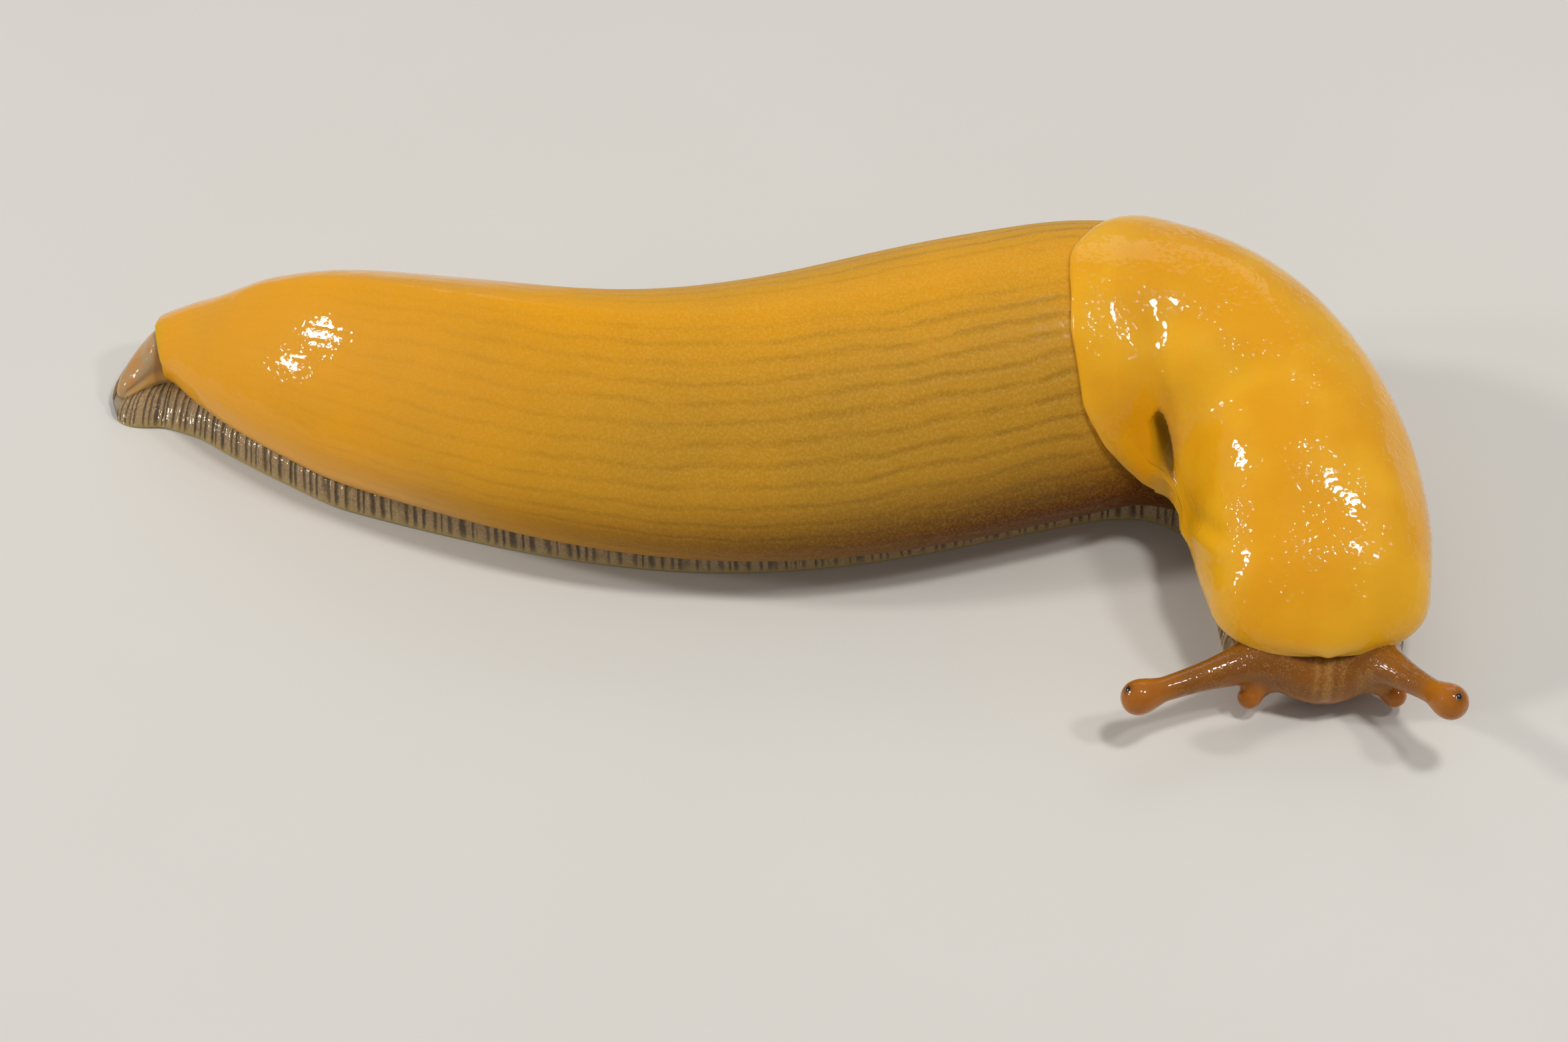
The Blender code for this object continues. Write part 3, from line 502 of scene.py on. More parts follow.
def core_stations():
    """Where each ring of the trunk stands, and how far it shrinks: the first dozen roll the tail's lip."""
    lip, shrink = np.array(TAIL_LIP).T
    trunk = np.arange(6.75, SNOUT[0][0], 0.68)
    return np.concatenate([lip, trunk]), np.concatenate([shrink, np.ones(len(trunk))])


def snout_rings(rows, q, under):
    """Rings of the head: superellipses between each row's lowest and highest, wide at mid height."""
    share = np.abs(q)
    angle = np.where(
        share <= WIDEST_SHARE,
        math.pi / 2 * (1.0 - share / WIDEST_SHARE),
        -SNOUT_TURN * (share - WIDEST_SHARE) / (1.0 - WIDEST_SHARE),
    )
    low_angle = -math.pi / 2 + (math.pi / 2 - SNOUT_TURN) * np.abs(under)
    angle = np.concatenate([angle, low_angle])
    side = np.concatenate([-np.sign(q), -np.sign(under)])
    power = 2.0 / SNOUT_ROUNDNESS
    half, low, high = rows[:, 1:2], rows[:, 2:3], rows[:, 3:4]
    u = side * half * np.cos(angle) ** power
    v = (low + high) / 2 + (high - low) / 2 * np.sign(np.sin(angle)) * np.abs(np.sin(angle)) ** power
    return np.broadcast_to(rows[:, :1], u.shape), u, v


def trunk_rings(q, under):
    """Rings of trunk and neck: the flank's section all along, drawn in under the mantle.

    By the tail's lip each ring slants, with its lower lines further forwards by a power of q."""
    s, shrink = core_stations()
    slant = 1.9 * np.abs(q) ** 1.6
    stations = s[:, None] + slant * (1.0 - smoothstep(s, 5.0, 24.0))[:, None]
    inset = smoothstep(stations, NECK_START - 1.0, NECK_START + 5.0) * 0.8
    margin = profile(np.clip(q / EDGE_SHARE, -1.0, 1.0), REAR_MARGIN)
    covered = smoothstep(stations - margin, 0.4, 4.0) * smoothstep(0.83 - np.abs(q), 0.0, 0.06)
    u, v = flank(stations, q, -np.maximum(inset, covered * 1.3), 0.5)
    low = v[:, [0, -1]].mean(axis=1, keepdims=True)
    wide = np.abs(u[:, [0, -1]]).mean(axis=1, keepdims=True)
    u = np.concatenate([u, -under * wide], axis=1)
    v = np.concatenate([v, np.repeat(low, len(under), axis=1)], axis=1)
    stations = np.pad(stations, ((0, 0), (0, len(under))), mode="edge")
    middle = v.mean(axis=1, keepdims=True)
    return stations, u * shrink[:, None], middle + (v - middle) * shrink[:, None]


def make_core():
    """Trunk, neck and head as one tube from the tail's lip to the mouth.

    The neck's section turns into the snout's first one by a smooth step, and the snout's rings follow."""
    q, under = core_lines()
    stations, u, v = trunk_rings(q, under)
    rows = hermite_rows(SNOUT, 80, 0.97)
    _, start_u, start_v = snout_rings(np.repeat(rows[:1], len(stations), axis=0), q, under)
    join = smoothstep(stations, 122.0, 133.5)
    trunk = (stations, u + (start_u - u) * join, v + (start_v - v) * join)
    stations, u, v = (np.concatenate(pair) for pair in zip(trunk, snout_rings(rows, q, under)))
    points, face = face_relief(place(stations, u, v), stations, u, v)
    flow = triples(np.concatenate([q, np.sign(under)]), stations, 0.0)
    zone = triples(0.0, smoothstep(stations, 124.0, HEAD_START), 0.0)
    return {**patch(points, flow, zone), "face": face, "place": stations}


def face_relief(points, s, u, v):
    """The snout's points with its folds, and how orange and pale it is.

    Upright ribs are bell curves of u, two full lips bell curves of u and v, and the mouth between them a
    flat-bottomed slit; a small pale flap lies beside the left lip."""
    normals = surface_normals(points)
    front = smoothstep(s, 146.6, 148.2)
    ribs, pale = 0.0 * u, 0.0 * u
    for middle, width, height, paleness in FACE_RIBS:
        rib = bell(u - middle - 0.12 * (v - 4.0), width) * smoothstep(v, 2.5, 3.4)
        ribs += height * rib * front
        pale = np.maximum(pale, paleness * rib * smoothstep(s, 145.0, 147.4))
    lips = 0.0 * u
    for across, up, width, tall, height in LIPS:
        lips += height * bell(u - across, width) * bell(v - up, tall) * front
    slit = bell(u**2, MOUTH_HALF_WIDTH**2) * bell(v - MOUTH_AT, MOUTH_HALF_HEIGHT) * front
    across, up, width, tall, height = LIP_FLAP
    flap = bell(u - across, width) * bell(v - up, tall) * smoothstep(s, 145.4, 146.6)
    orange = 0.35 * smoothstep(-v, -4.3, -2.0) * smoothstep(s, 143.0, 147.0)
    face = triples(orange, np.maximum(pale, 0.9 * flap), 0.0)
    relief = ribs + lips - MOUTH_DEPTH * slit + height * flap
    return points + normals * relief[..., None], face


def mantle_stations(share, margin, proud):
    """Where each ring of the mantle stands and how far it grows out from the flank's section.

    The first rings roll the rear rim: steps square to the rim, turned into steps along the spine by how
    far a millimetre of spine reaches across the rim. The rest run evenly to the front and then crowd by a
    sine; the last array is how far each ring is through the front's rounding."""
    u, v = flank(margin, share * EDGE_SHARE)
    line = place(margin, u, v)
    ahead = (place(margin + 0.2, u, v) - line) / 0.2
    around = unit(np.gradient(line, axis=0))
    square = ahead - around * np.sum(ahead * around, axis=-1, keepdims=True)
    across = np.maximum(np.linalg.norm(square, axis=-1), 0.25 * np.linalg.norm(ahead, axis=-1))
    roll = np.array(REAR_ROLL)
    rear = margin + (0.3 + roll[:, :1]) / across
    rear_grow = np.repeat(roll[:, 1:], len(share), axis=1)
    steps = 106
    along = np.linspace(0.0, 1.0, steps + 1)[1:, None] ** 1.08
    middle = rear[-1] + (MANTLE_FRONT_ROUND - rear[-1]) * along
    flatter = 1.0 - (1.0 - FRONT_PROUD) * smoothstep(along * 2.0)
    middle_grow = np.broadcast_to(proud * flatter, middle.shape)
    end = np.sin(quarter_turn(38)[1:-1, None]) ** 0.8
    front = MANTLE_FRONT_ROUND + (profile(share, FRONT_MARGIN) - MANTLE_FRONT_ROUND) * end
    front_grow = np.full(front.shape, FRONT_PROUD * proud)
    stations = np.concatenate([rear, middle, front])
    grows = np.concatenate([rear_grow, middle_grow, front_grow])
    return stations, grows, np.concatenate([np.zeros((len(stations) - len(end), 1)), end])


def make_mantle(sizes):
    """The smooth shield: rings from its rear margin to its blunt front edge, its rim rolled under.

    Each ring lies on the flank's section, grown outwards; share is the way from ridge to lower edge."""
    side = np.linspace(0.0, 1.0, 60)
    share = np.concatenate([-side[::-1], side[1:]])
    margin = profile(share, REAR_MARGIN)
    stations, grows, ends = mantle_stations(share, margin, sizes.mantle_height / MM)
    edge = profile(stations, MANTLE_EDGE)
    low_share = share_at_height(stations, edge + 0.35)
    on_trunk = smoothstep(stations, NECK_START - 6.0, NECK_START + 3.0)
    q = share * (EDGE_SHARE + (low_share - EDGE_SHARE) * on_trunk)
    u, v = flank(stations, q, grows)
    relief = mantle_swell(stations, q) * smoothstep(stations - margin, 1.0, 5.0)
    lip = np.array(LOWER_ROLL)
    lip_u = u[:, [0, -1], None] + np.array([1.0, -1.0])[:, None] * lip[:, 0]
    lip_v = v[:, [0, -1], None] - lip[:, 1]
    u = np.concatenate([lip_u[:, 0, ::-1], u, lip_u[:, 1]], axis=1)
    v = np.concatenate([lip_v[:, 0, ::-1], v, lip_v[:, 1]], axis=1)
    wider = ((0, 0), (len(lip), len(lip)))
    stations, q = np.pad(stations, wider, mode="edge"), np.pad(q, wider, mode="edge")
    relief = np.pad(relief, wider)
    edge = profile(stations, MANTLE_EDGE)
    across, tall = ((1.0 - ends**power) ** (1.0 / power) for power in FRONT_ROUNDNESS)
    u = u * across
    v = edge + (v - edge) * tall
    points = place(stations, u, v)
    normals = surface_normals(points)
    hollow, deep = breathing_hollow(points, normals)
    points = points + normals * relief[..., None] + hollow
    rim = np.maximum(smoothstep(edge - v, -1.3, 0.1), smoothstep(ends, 0.94, 0.995))
    return patch(points, triples(q, stations, 0.0), triples(1.0, 0.0, deep), triples(0.0, 0.6 * rim, 0.0))


def mantle_swell(s, q):
    """The mantle's relief: soft round bumps, and a fold with a swelling below it.

    Each bump is a bell curve of place and q; the fold is a bell curve of the distance to its line."""
    total = np.zeros_like(s)
    for at, across, long, wide, height in MANTLE_BUMPS:
        total += height * bell(s - at, long) * bell(q - across, wide)
    line = hermite_rows([(at, share * MM_PER_Q) for at, share in MANTLE_FOLD], 60)
    near = (s > line[:, 0].min() - 4.0) & (q > 0.1)
    gap = np.stack([s[near], q[near] * MM_PER_Q], axis=-1)[:, None] - line[None]
    apart = np.linalg.norm(gap, axis=-1)
    nearest = np.argmin(apart, axis=1)
    away = apart.min(axis=1)
    below = gap[np.arange(len(away)), nearest, 1]
    ends = smoothstep(nearest, 0, 8) * smoothstep(-nearest, -59, -40)
    swelling = FOLD_SWELLING * bell(below - 1.6, 1.0) * smoothstep(-away, -3.5, -1.5)
    total[near] += (swelling - FOLD_DEPTH * bell(away, 0.9)) * ends
    return total


def breathing_hollow(points, normals):
    """How the breathing hole moves the mantle's skin, and how deep it lies in the hollow.

    The skin behind the hole's lip sinks by a smooth ramp of the distance to it, and the skin in front of
    it leans back over the hollow; both die away towards the lip's ends."""
    count, stretch = 81, 60.0
    rows = hermite_rows([(at, share * stretch) for at, share in BREATHING_LIP], count)
    u, v = flank(rows[:, 0], rows[:, 1] / stretch, 0.5)
    curve = place(rows[:, 0], u, v)
    tangent = unit(np.gradient(curve, axis=0))
    near = np.linalg.norm(points - curve[count // 2], axis=-1) < 9.0
    cloud, out = points[near], normals[near]
    nearest = np.argmin(np.linalg.norm(cloud[:, None] - curve[None], axis=-1), axis=1)
    forwards = np.cross(tangent[nearest], out)
    ahead = place(rows[:, 0] + 0.1, u, v) - curve
    forwards = unit(forwards * np.sign(np.sum(forwards * ahead[nearest], axis=-1, keepdims=True)))
    gap = cloud - curve[nearest]
    signed = np.sum(gap * forwards, axis=-1)
    past = np.sum(gap * tangent[nearest], axis=-1)
    window = np.sin(math.pi * nearest / (count - 1)) ** 0.6 * bell(past, 0.8)
    depth = HOLE_DEPTH * smoothstep(signed, -2.3, -0.4) * smoothstep(-signed, -0.22, 0.06) * window
    lean = HOLE_LEAN * smoothstep(signed, -0.1, 0.25) * smoothstep(-signed, -2.0, -0.2) * window
    proud = HOLE_RAISED * smoothstep(signed, -0.05, 0.35) * smoothstep(-signed, -2.4, -0.4) * window
    move = np.zeros_like(points)
    move[near] = -forwards * lean[:, None] + out * (proud - depth)[:, None]
    deep = np.zeros(points.shape[:2])
    deep[near] = np.clip(depth, 0.0, 1.0)
    return move, deep


def make_gland():
    """The pale gland in the pore under the tail's lip: arches of sines over the foot's tip."""
    rows = hermite_rows(TAIL_GLAND, 46)
    rise = np.linspace(0.0, math.pi, 43)
    s = rows[:, :1]
    low = profile(s, FRINGE_HEIGHT) - 0.3
    u = rows[:, 1:2] * np.sign(np.cos(rise)) * np.abs(np.cos(rise)) ** 0.9
    v = low + (rows[:, 2:3] - low) * np.sin(rise) ** 0.85
    u, v = np.concatenate([u, 0.0 * s], axis=1), np.concatenate([v, low], axis=1)
    share = (v - low) / (rows[:, 2:3] - low)
    shown = smoothstep(s, 1.0, 2.2)
    fold = 0.2 * bell(share - 0.2, 0.12) - 0.16 * bell(share - 0.42, 0.1)
    points = place(s, swung(s, u + np.sign(u) * fold * shown), v)
    pale = 0.6 * bell(share - 0.2, 0.14) * shown
    return patch(points, triples(0.0, s, 0.0), (0.0, 0.0, 1.0), triples(0.0, pale, 0.0))


def rim_length():
    """The running length of each side's rim from the tail tip, over a fine sampling of s."""
    round_tip = FAN_CENTRE - (FAN_CENTRE - 0.35) * np.cos(quarter_turn(200))
    straight = np.arange(FAN_CENTRE + 0.1, FOOT_FRONT_END, 0.1)
    s = np.minimum(np.concatenate([round_tip, straight]), FOOT_FRONT_END - 0.01)
    lengths = []
    for side in (-1.0, 1.0):
        line = place(s, swung(s, side * foot_half_width(s)), 0.0)
        steps = np.linalg.norm(np.diff(line, axis=0), axis=-1)
        lengths.append(np.concatenate([[0.0], np.cumsum(steps)]))
    return s, lengths


def bar_numbers(s, u, pitch):
    """Which bar of the fringe a point of the foot lies on: the rim's length to it, in bar spacings.

    Round the tail tip the bars fan out, so there a point takes the length of the rim point at its angle
    about the fan's centre. There the spacing halves, by an exponential of the length, and slow waves make it
    uneven all along. Each side's numbers have a start of their own, so that the bars' widths by chance
    differ from side to side."""
    along, lengths = rim_length()
    rim_angle = np.arctan2(foot_half_width(along), FAN_CENTRE - along)
    angle = np.arctan2(np.abs(u), FAN_CENTRE - s)
    inside = along < FAN_CENTRE
    reached = np.where(s < FAN_CENTRE, np.interp(angle, rim_angle[inside], along[inside]), s)
    length = np.where(u > 0, np.interp(reached, along, lengths[1]), np.interp(reached, along, lengths[0]))
    number = (length + FAN_BARS * (1.0 - np.exp(-length / FAN_BARS))) / pitch
    uneven = 0.24 * np.sin(number * 0.9 + np.sign(u)) + 0.18 * np.sin(number * 2.3)
    uneven += 0.12 * np.sin(number * 3.9)
    return number + uneven + np.where(u > 0, 300.0, 100.0)


def foot_sections(s):
    """One side's section of the foot at each s: sole, rounded rim, flared fringe and its groove above."""
    half = foot_half_width(s)
    groove = np.minimum(groove_half_width(s), half - 0.05)
    height = profile(s, FRINGE_HEIGHT) * smoothstep(s + 1.0, 0.6, 2.0) ** 0.5
    turn = quarter_turn(5)
    climb = np.linspace(0.0, 1.0, 9)[1:]
    sole_u = half * np.array([0.0, 0.35, 0.7])
    rim_u = half - 0.05 * half * (1.0 - np.sin(turn))
    rim_v = 0.18 * height * (1.0 - np.cos(turn))
    face_u = half + (groove - half) * climb + 0.12 * np.sin(climb * math.pi)
    face_v = 0.18 * height + 0.82 * height * np.sin(climb * math.pi / 2) ** 0.9
    top_u = groove * np.array([0.82, 0.4])
    top_v = height - np.array([0.02, 0.05])
    rise = np.concatenate([[0.0] * 3, 0.2 * (1 - np.cos(turn)), 0.2 + 0.8 * climb, [1.15, 1.3]])
    u = np.concatenate([sole_u, rim_u, face_u, top_u], axis=1)
    v = np.concatenate([0.0 * sole_u, rim_v, face_v, top_v], axis=1)
    return u, v, np.broadcast_to(rise, u.shape)


def make_foot(sizes):
    """The sole with its fringe, whose upright plates stand between dark grooves.

    Rings crowd round both ends; each plate swells by the root of the sine of its bar number."""
    front_start = FOOT_FRONT_END - FOOT_FRONT_ROUND
    tail = FAN_CENTRE - (FAN_CENTRE - 0.3) * np.cos(quarter_turn(44, 0.02))
    straight = np.arange(FAN_CENTRE + 0.2, front_start, 0.262)
    front = front_start + (FOOT_FRONT_ROUND - 0.05) * np.sin(quarter_turn(32))
    s = np.concatenate([tail, straight, front])[:, None]
    u, v, rise = foot_sections(s)
    middle_v = v[:, -1:]
    u = np.concatenate([-u, 0.0 * s, u[:, :0:-1]], axis=1)
    v = np.concatenate([v, middle_v, v[:, :0:-1]], axis=1)
    rise = np.concatenate([rise, 1.4 + 0.0 * s, rise[:, :0:-1]], axis=1)
    s = np.repeat(s, u.shape[1], axis=1)
    number = bar_numbers(s, u, sizes.bar_spacing / MM)
    plate = np.sqrt(np.abs(np.sin(math.pi * number)) + 0.02)
    shown = smoothstep(rise, 0.1, 0.4) * smoothstep(-rise, -1.1, -0.9) * smoothstep(s, 1.0, 9.0)
    points = place(s, swung(s, u), v)
    normals = surface_normals(points)
    points = points + normals * ((plate - 1.0) * sizes.fold_depth / MM * shown)[..., None]
    points[..., 2] = np.maximum(points[..., 2], 0.0)
    return patch(points, triples(number, rise, 0.0), (0.0, 0.0, 0.0), finish=1)


def feeler_radius(at, shape):
    """A feeler's radius: a taper from its root, eased into a bulb that ends it as half a circle."""
    root, stalk, bulb, taper = shape["radii"]
    centre = shape["length"] - bulb
    thick = stalk + (root - stalk) * (1.0 - np.clip(at / (centre - bulb), 0.0, 1.0)) ** taper
    ball = np.sqrt(np.maximum(bulb**2 - (at - centre) ** 2, 0.0))
    blend = smoothstep(at, centre - 1.75 * bulb, centre - 0.1 * bulb)
    return np.where(at > centre, ball, thick + (bulb - thick) * blend)


def feeler_shape(kind, side):
    """A feeler's root, axis, length and radii in world millimetres."""
    roots, bulbs = (UPPER_ROOTS, UPPER_BULBS) if kind == "upper" else (LOWER_ROOTS, LOWER_BULBS)
    start, middle = place(*roots[side]), place(*bulbs[side])
    reach = np.linalg.norm(middle - start)
    *radii, melt = FEELER_RADII[kind]
    made = {"start": start, "axis": (middle - start) / reach, "length": reach + radii[2]}
    return {**made, "radii": radii, "melt": melt, "kind": kind, "side": side}


def feeler_distance(points, shape):
    """How far points lie outside a feeler."""
    gap = points - shape["start"]
    at = np.clip(gap @ shape["axis"], 0.0, shape["length"] - 0.01)
    off = np.linalg.norm(gap - at[..., None] * shape["axis"], axis=-1)
    return off - feeler_radius(at, shape)


def melt_into_head(core, shapes):
    """Draws the head's skin up round each feeler's root, and gives it the feeler's colour there.

    Two surfaces with distances a and b melt where min(a, b) less a quarter of the reach, times the square
    of one less their difference over the reach, is nought; each point steps out until that holds."""
    near = core["place"] > HEAD_START
    for shape in shapes:
        reach = shape["melt"]
        normals = surface_normals(core["points"])[near]
        points = core["points"][near]
        step = np.zeros(len(points))
        for _ in range(14):
            b = feeler_distance(points + normals * step[:, None], shape)
            closeness = np.clip(1.0 - np.abs(step - b) / reach, 0.0, 1.0)
            value = np.minimum(step, b) - reach / 4.0 * closeness**2
            step = np.clip(step - 0.7 * value, 0.0, reach)
        moved = points + normals * step[:, None]
        core["points"][near] = moved
        at = (moved - shape["start"]) @ shape["axis"]
        close = smoothstep(-feeler_distance(moved, shape), -1.4, -0.4)
        core["face"][near, 0] = np.maximum(core["face"][near, 0], close * feeler_orange(at, shape))


def make_feeler(shape, core):
    """A feeler as rings about its straight axis, swelling by its root as the head's skin does."""
    sides, rings = FEELER_GRID[shape["kind"]]
    length, bulb = shape["length"], shape["radii"][2]
    crowded = 1.5 * bulb * np.cos(quarter_turn(24))
    at = np.concatenate([np.linspace(0.0, length - 1.5 * bulb, rings)[:-1], length - crowded])
    at[-1] = length * (1.0 - 1e-4)
    axis = shape["axis"]
    across = unit(np.cross(axis, [0.0, 0.0, 1.0]))
    other = np.cross(across, axis)
    turn = np.linspace(0.0, 2 * math.pi, sides, endpoint=False)
    out = np.cos(turn)[:, None] * across + np.sin(turn)[:, None] * other
    centres = shape["start"] + axis * at[:, None]
    points = centres[:, None] + feeler_radius(at, shape)[:, None, None] * out
    head = core["place"] > HEAD_START
    skin, normals = core["points"][head], surface_normals(core["points"])[head]
    near = at < 9.0
    cloud = points[near].reshape(-1, 3)
    nearest = np.concatenate([
        np.argmin(np.linalg.norm(part[:, None] - skin[None], axis=-1), axis=1)
        for part in np.array_split(cloud.astype(np.float32), 12)
    ])
    a = np.sum((cloud - skin[nearest]) * normals[nearest], axis=-1)
    step = np.zeros(len(a))
    reach = shape["melt"]
    for _ in range(12):
        closeness = np.clip(1.0 - np.abs(a - step) / reach, 0.0, 1.0)
        step = 0.5 * step + 0.5 * reach / 4.0 * closeness**2
    step = np.where(a < -0.2, 0.0, step).reshape(-1, sides)
    points[near] += out[None] * step[..., None]
    face = feeler_face(points, at[:, None], out, shape)
    return patch(points, triples(0.0, at[:, None], 0.0), (0.0, 1.0, 0.0), face)


def feeler_orange(at, shape):
    """How orange a feeler is: its bulb wholly, by a smooth step of the distance from its root."""
    centre = shape["length"] - shape["radii"][2]
    if shape["kind"] == "lower":
        return 0.15 + 0.75 * smoothstep(at, 0.2, centre)
    return smoothstep(at, centre - 5.5, centre - 0.2)


def feeler_face(points, at, out, shape):
    """How orange a feeler's skin is, and how dark by its eye.

    The bulb is orange and the stalk's underside half so; the shade dies off with the eye's distance."""
    under = 0.45 * smoothstep(-out[..., 2], 0.0, 0.9) * smoothstep(at, 3.0, 6.0)
    orange = np.maximum(feeler_orange(at, shape), under)
    if shape["kind"] == "lower":
        return triples(orange, 0.0, 0.0)
    apart = np.linalg.norm(points - eye_centre(shape["side"]), axis=-1)
    return triples(orange, 0.0, bell(apart, EYE_SHADE))


def eye_centre(side):
    """Where an eye's middle lies in its bulb, in world millimetres."""
    return place(*UPPER_BULBS[side]) + unit(np.array(EYE_DIRECTIONS[side])) * EYE_DEPTH


def add(tree, kind, inputs=(), **settings):
    """Adds a shader node with its settings, and gives its first output in use.

    inputs holds each socket's value, or the output that feeds it, in order or by name or number."""
    made = tree.nodes.new(kind)
    for name, value in settings.items():
        setattr(made, name, value)
    for socket, value in inputs.items() if isinstance(inputs, dict) else enumerate(inputs):
        if isinstance(value, bpy.types.NodeSocket):
            tree.links.new(value, made.inputs[socket])
        else:
            made.inputs[socket].default_value = value
    return next((output for output in made.outputs if output.enabled), None)


def new_material(name):
    """An empty node material, and its tree."""
    made = bpy.data.materials.new(name)
    made.use_nodes = True
    made.node_tree.nodes.clear()
    return made, made.node_tree


def skin_places(tree, *attributes):
    """What a skin's looks follow, by name: a point's place in millimetres, and its patch's numbers."""
    metres = add(tree, "ShaderNodeTexCoord").node.outputs["Object"]
    scale = (1 / MM, 1 / MM, 1 / MM)
    at = {"mm": add(tree, "ShaderNodeMapping", {"Vector": metres, "Scale": scale})}
    for name in attributes:
        vector = add(tree, "ShaderNodeAttribute", attribute_name=name).node.outputs["Vector"]
        numbers = add(tree, "ShaderNodeSeparateXYZ", (vector,)).node.outputs
        at.update(zip(NUMBER_NAMES[name], numbers))
    return SimpleNamespace(**at)


def furrow_lines(tree, at, count):
    """Long thin furrows that wander a little, as 1 along their middles and 0 between them.

    They are lines of equal q, moved by slow noise; they fade out on the tail and towards the ridge, and
    stop at the mantle."""
    slow = add(tree, NOISE, {"Vector": at.mm, "Scale": 1 / 8.0, "Detail": 1.0})
    fine = add(tree, NOISE, {"Vector": at.mm, "Scale": 1 / 2.0, "Detail": 0.0})
    moved = add(tree, MATHS, (at.line, count), operation="MULTIPLY")
    for noise, reach in ((slow, 0.9), (fine, 0.14)):
        moved = add(tree, MATHS, (noise, reach, moved), operation="MULTIPLY_ADD")
    inside = add(tree, MATHS, (moved, 0.5), operation="PINGPONG")
    width = add(tree, SPAN, (slow, 0.3, 0.7, 0.22, 0.34))
    furrow = add(tree, SPAN, (inside, width, 0.0), **SMOOTH)
    patchy = add(tree, NOISE, {"Vector": at.mm, "Scale": 1 / 3.0, "Detail": 2.0})
    patchy = add(tree, SPAN, (patchy, 0.3, 0.6, 0.4))
    off_tail = add(tree, SPAN, (at.along, 22.0, 95.0, 0.06))
    off_ridge = add(tree, SPAN, (at.side, 0.02, 0.14))
    for share in (patchy, off_tail, off_ridge, at.bare_trunk):
        furrow = add(tree, MATHS, (furrow, share), operation="MULTIPLY")
    return furrow


def trunk_colour(tree, at, colours):
    """Orange yellow on back and tail, mustard on the flank, and painted shade low down: reddish brown by the
    mantle and along the lowest line.
    """
    broad = add(tree, NOISE, {"Vector": at.mm, "Scale": 1 / 12.0, "Detail": 3.0})
    down = add(tree, SPAN, (at.side, -0.25, 0.5), **SMOOTH)
    ahead = add(tree, SPAN, (at.along, 18.0, 76.0), **SMOOTH)
    ochre = add(tree, MATHS, (down, ahead), operation="MULTIPLY")
    uneven = add(tree, MATHS, (broad, 0.5), operation="SUBTRACT")
    ochre = add(tree, MATHS, (uneven, 0.7, ochre), operation="MULTIPLY_ADD", use_clamp=True)
    # Painted shade: the flank darkens to reddish brown low down, more so towards the mantle.
    low = add(tree, SPAN, (at.side, 0.58, 0.84), **SMOOTH)
    front = add(tree, SPAN, (at.along, 24.0, 92.0), **SMOOTH)
    low_shade = add(tree, MATHS, (low, front), operation="MULTIPLY")
    # Painted shade along the flank's lowest line, under its bulge, all along the body.
    shade = add(tree, SPAN, (at.side, 0.9, 1.0, 0.0, 0.5), **SMOOTH)
    dark = add(tree, MATHS, (at.furrow, 0.31), operation="MULTIPLY")
    skin = add(tree, MIX, {0: ochre, 6: colours.back, 7: colours.flank}, **RGBA)
    for share, over in ((low_shade, colours.low_flank_shade), (shade, colours.low_flank_shade), (dark, colours.furrow)):
        skin = add(tree, MIX, {0: share, 6: skin, 7: over}, **RGBA)
    return skin


def mantle_colour(tree, at, colours):
    """Deep yellow with paler clouds, and painted shade in the breathing hole, which turns olive as it
    deepens.
    """
    broad = add(tree, NOISE, {"Vector": at.mm, "Scale": 1 / 9.0, "Detail": 2.0})
    clouds = add(tree, SPAN, (broad, 0.35, 0.65), **SMOOTH)
    skin = add(tree, MIX, {0: clouds, 6: colours.mantle, 7: colours.mantle_light}, **RGBA)
    # Painted shade: the skin darkens to olive with the breathing hole's depth.
    return add(tree, MIX, {0: at.hollow, 6: skin, 7: colours.hollow}, **RGBA)


def head_colour(tree, at, colours):
    """See-through brown that turns orange on the bulbs and below, with pale dots and an eye's dark rim.

    The living dots are about 0.1 mm, near a pixel, so they are drawn a little coarser and fainter."""
    patchy = add(tree, NOISE, {"Vector": at.mm, "Scale": 1 / 2.6, "Detail": 2.0})
    warm = add(tree, SPAN, (patchy, 0.35, 0.75, 0.0, 0.35))
    warm = add(tree, MATHS, (warm, at.orange), operation="ADD", use_clamp=True)
    away = add(tree, "ShaderNodeTexVoronoi", {"Vector": at.mm, "Scale": 1 / 0.24})
    gathered = add(tree, NOISE, {"Vector": at.mm, "Scale": 1 / 1.4, "Detail": 1.0})
    more = add(tree, MATHS, (gathered, 0.6, -0.02), operation="MULTIPLY_ADD")
    more = add(tree, MATHS, (at.pale, 0.3, more), operation="MULTIPLY_ADD")
    near = add(tree, MATHS, (more, away), operation="SUBTRACT")
    dots = add(tree, SPAN, (near, -0.12, 0.16), **SMOOTH)
    plain = add(tree, MATHS, (1.0, warm), operation="SUBTRACT", use_clamp=True)
    for share in (plain, 0.42):
        dots = add(tree, MATHS, (dots, share), operation="MULTIPLY")
    rib = add(tree, MATHS, (at.pale, 0.3), operation="MULTIPLY")
    dark = add(tree, MATHS, (at.by_eye, 0.9), operation="MULTIPLY")
    skin = add(tree, MIX, {0: warm, 6: colours.head, 7: colours.feeler}, **RGBA)
    for share, over in ((dots, colours.fleck), (rib, colours.fleck), (dark, colours.eye)):
        skin = add(tree, MIX, {0: share, 6: skin, 7: over}, **RGBA)
    return skin


def gland_colour(tree, at, colours):
    """The gland's milky flesh."""
    milky = add(tree, NOISE, {"Vector": at.mm, "Scale": 1 / 1.6, "Detail": 2.0})
    milky = add(tree, SPAN, (milky, 0.4, 0.7), **SMOOTH)
    return add(tree, MIX, {0: milky, 6: colours.gland, 7: colours.plate}, **RGBA)


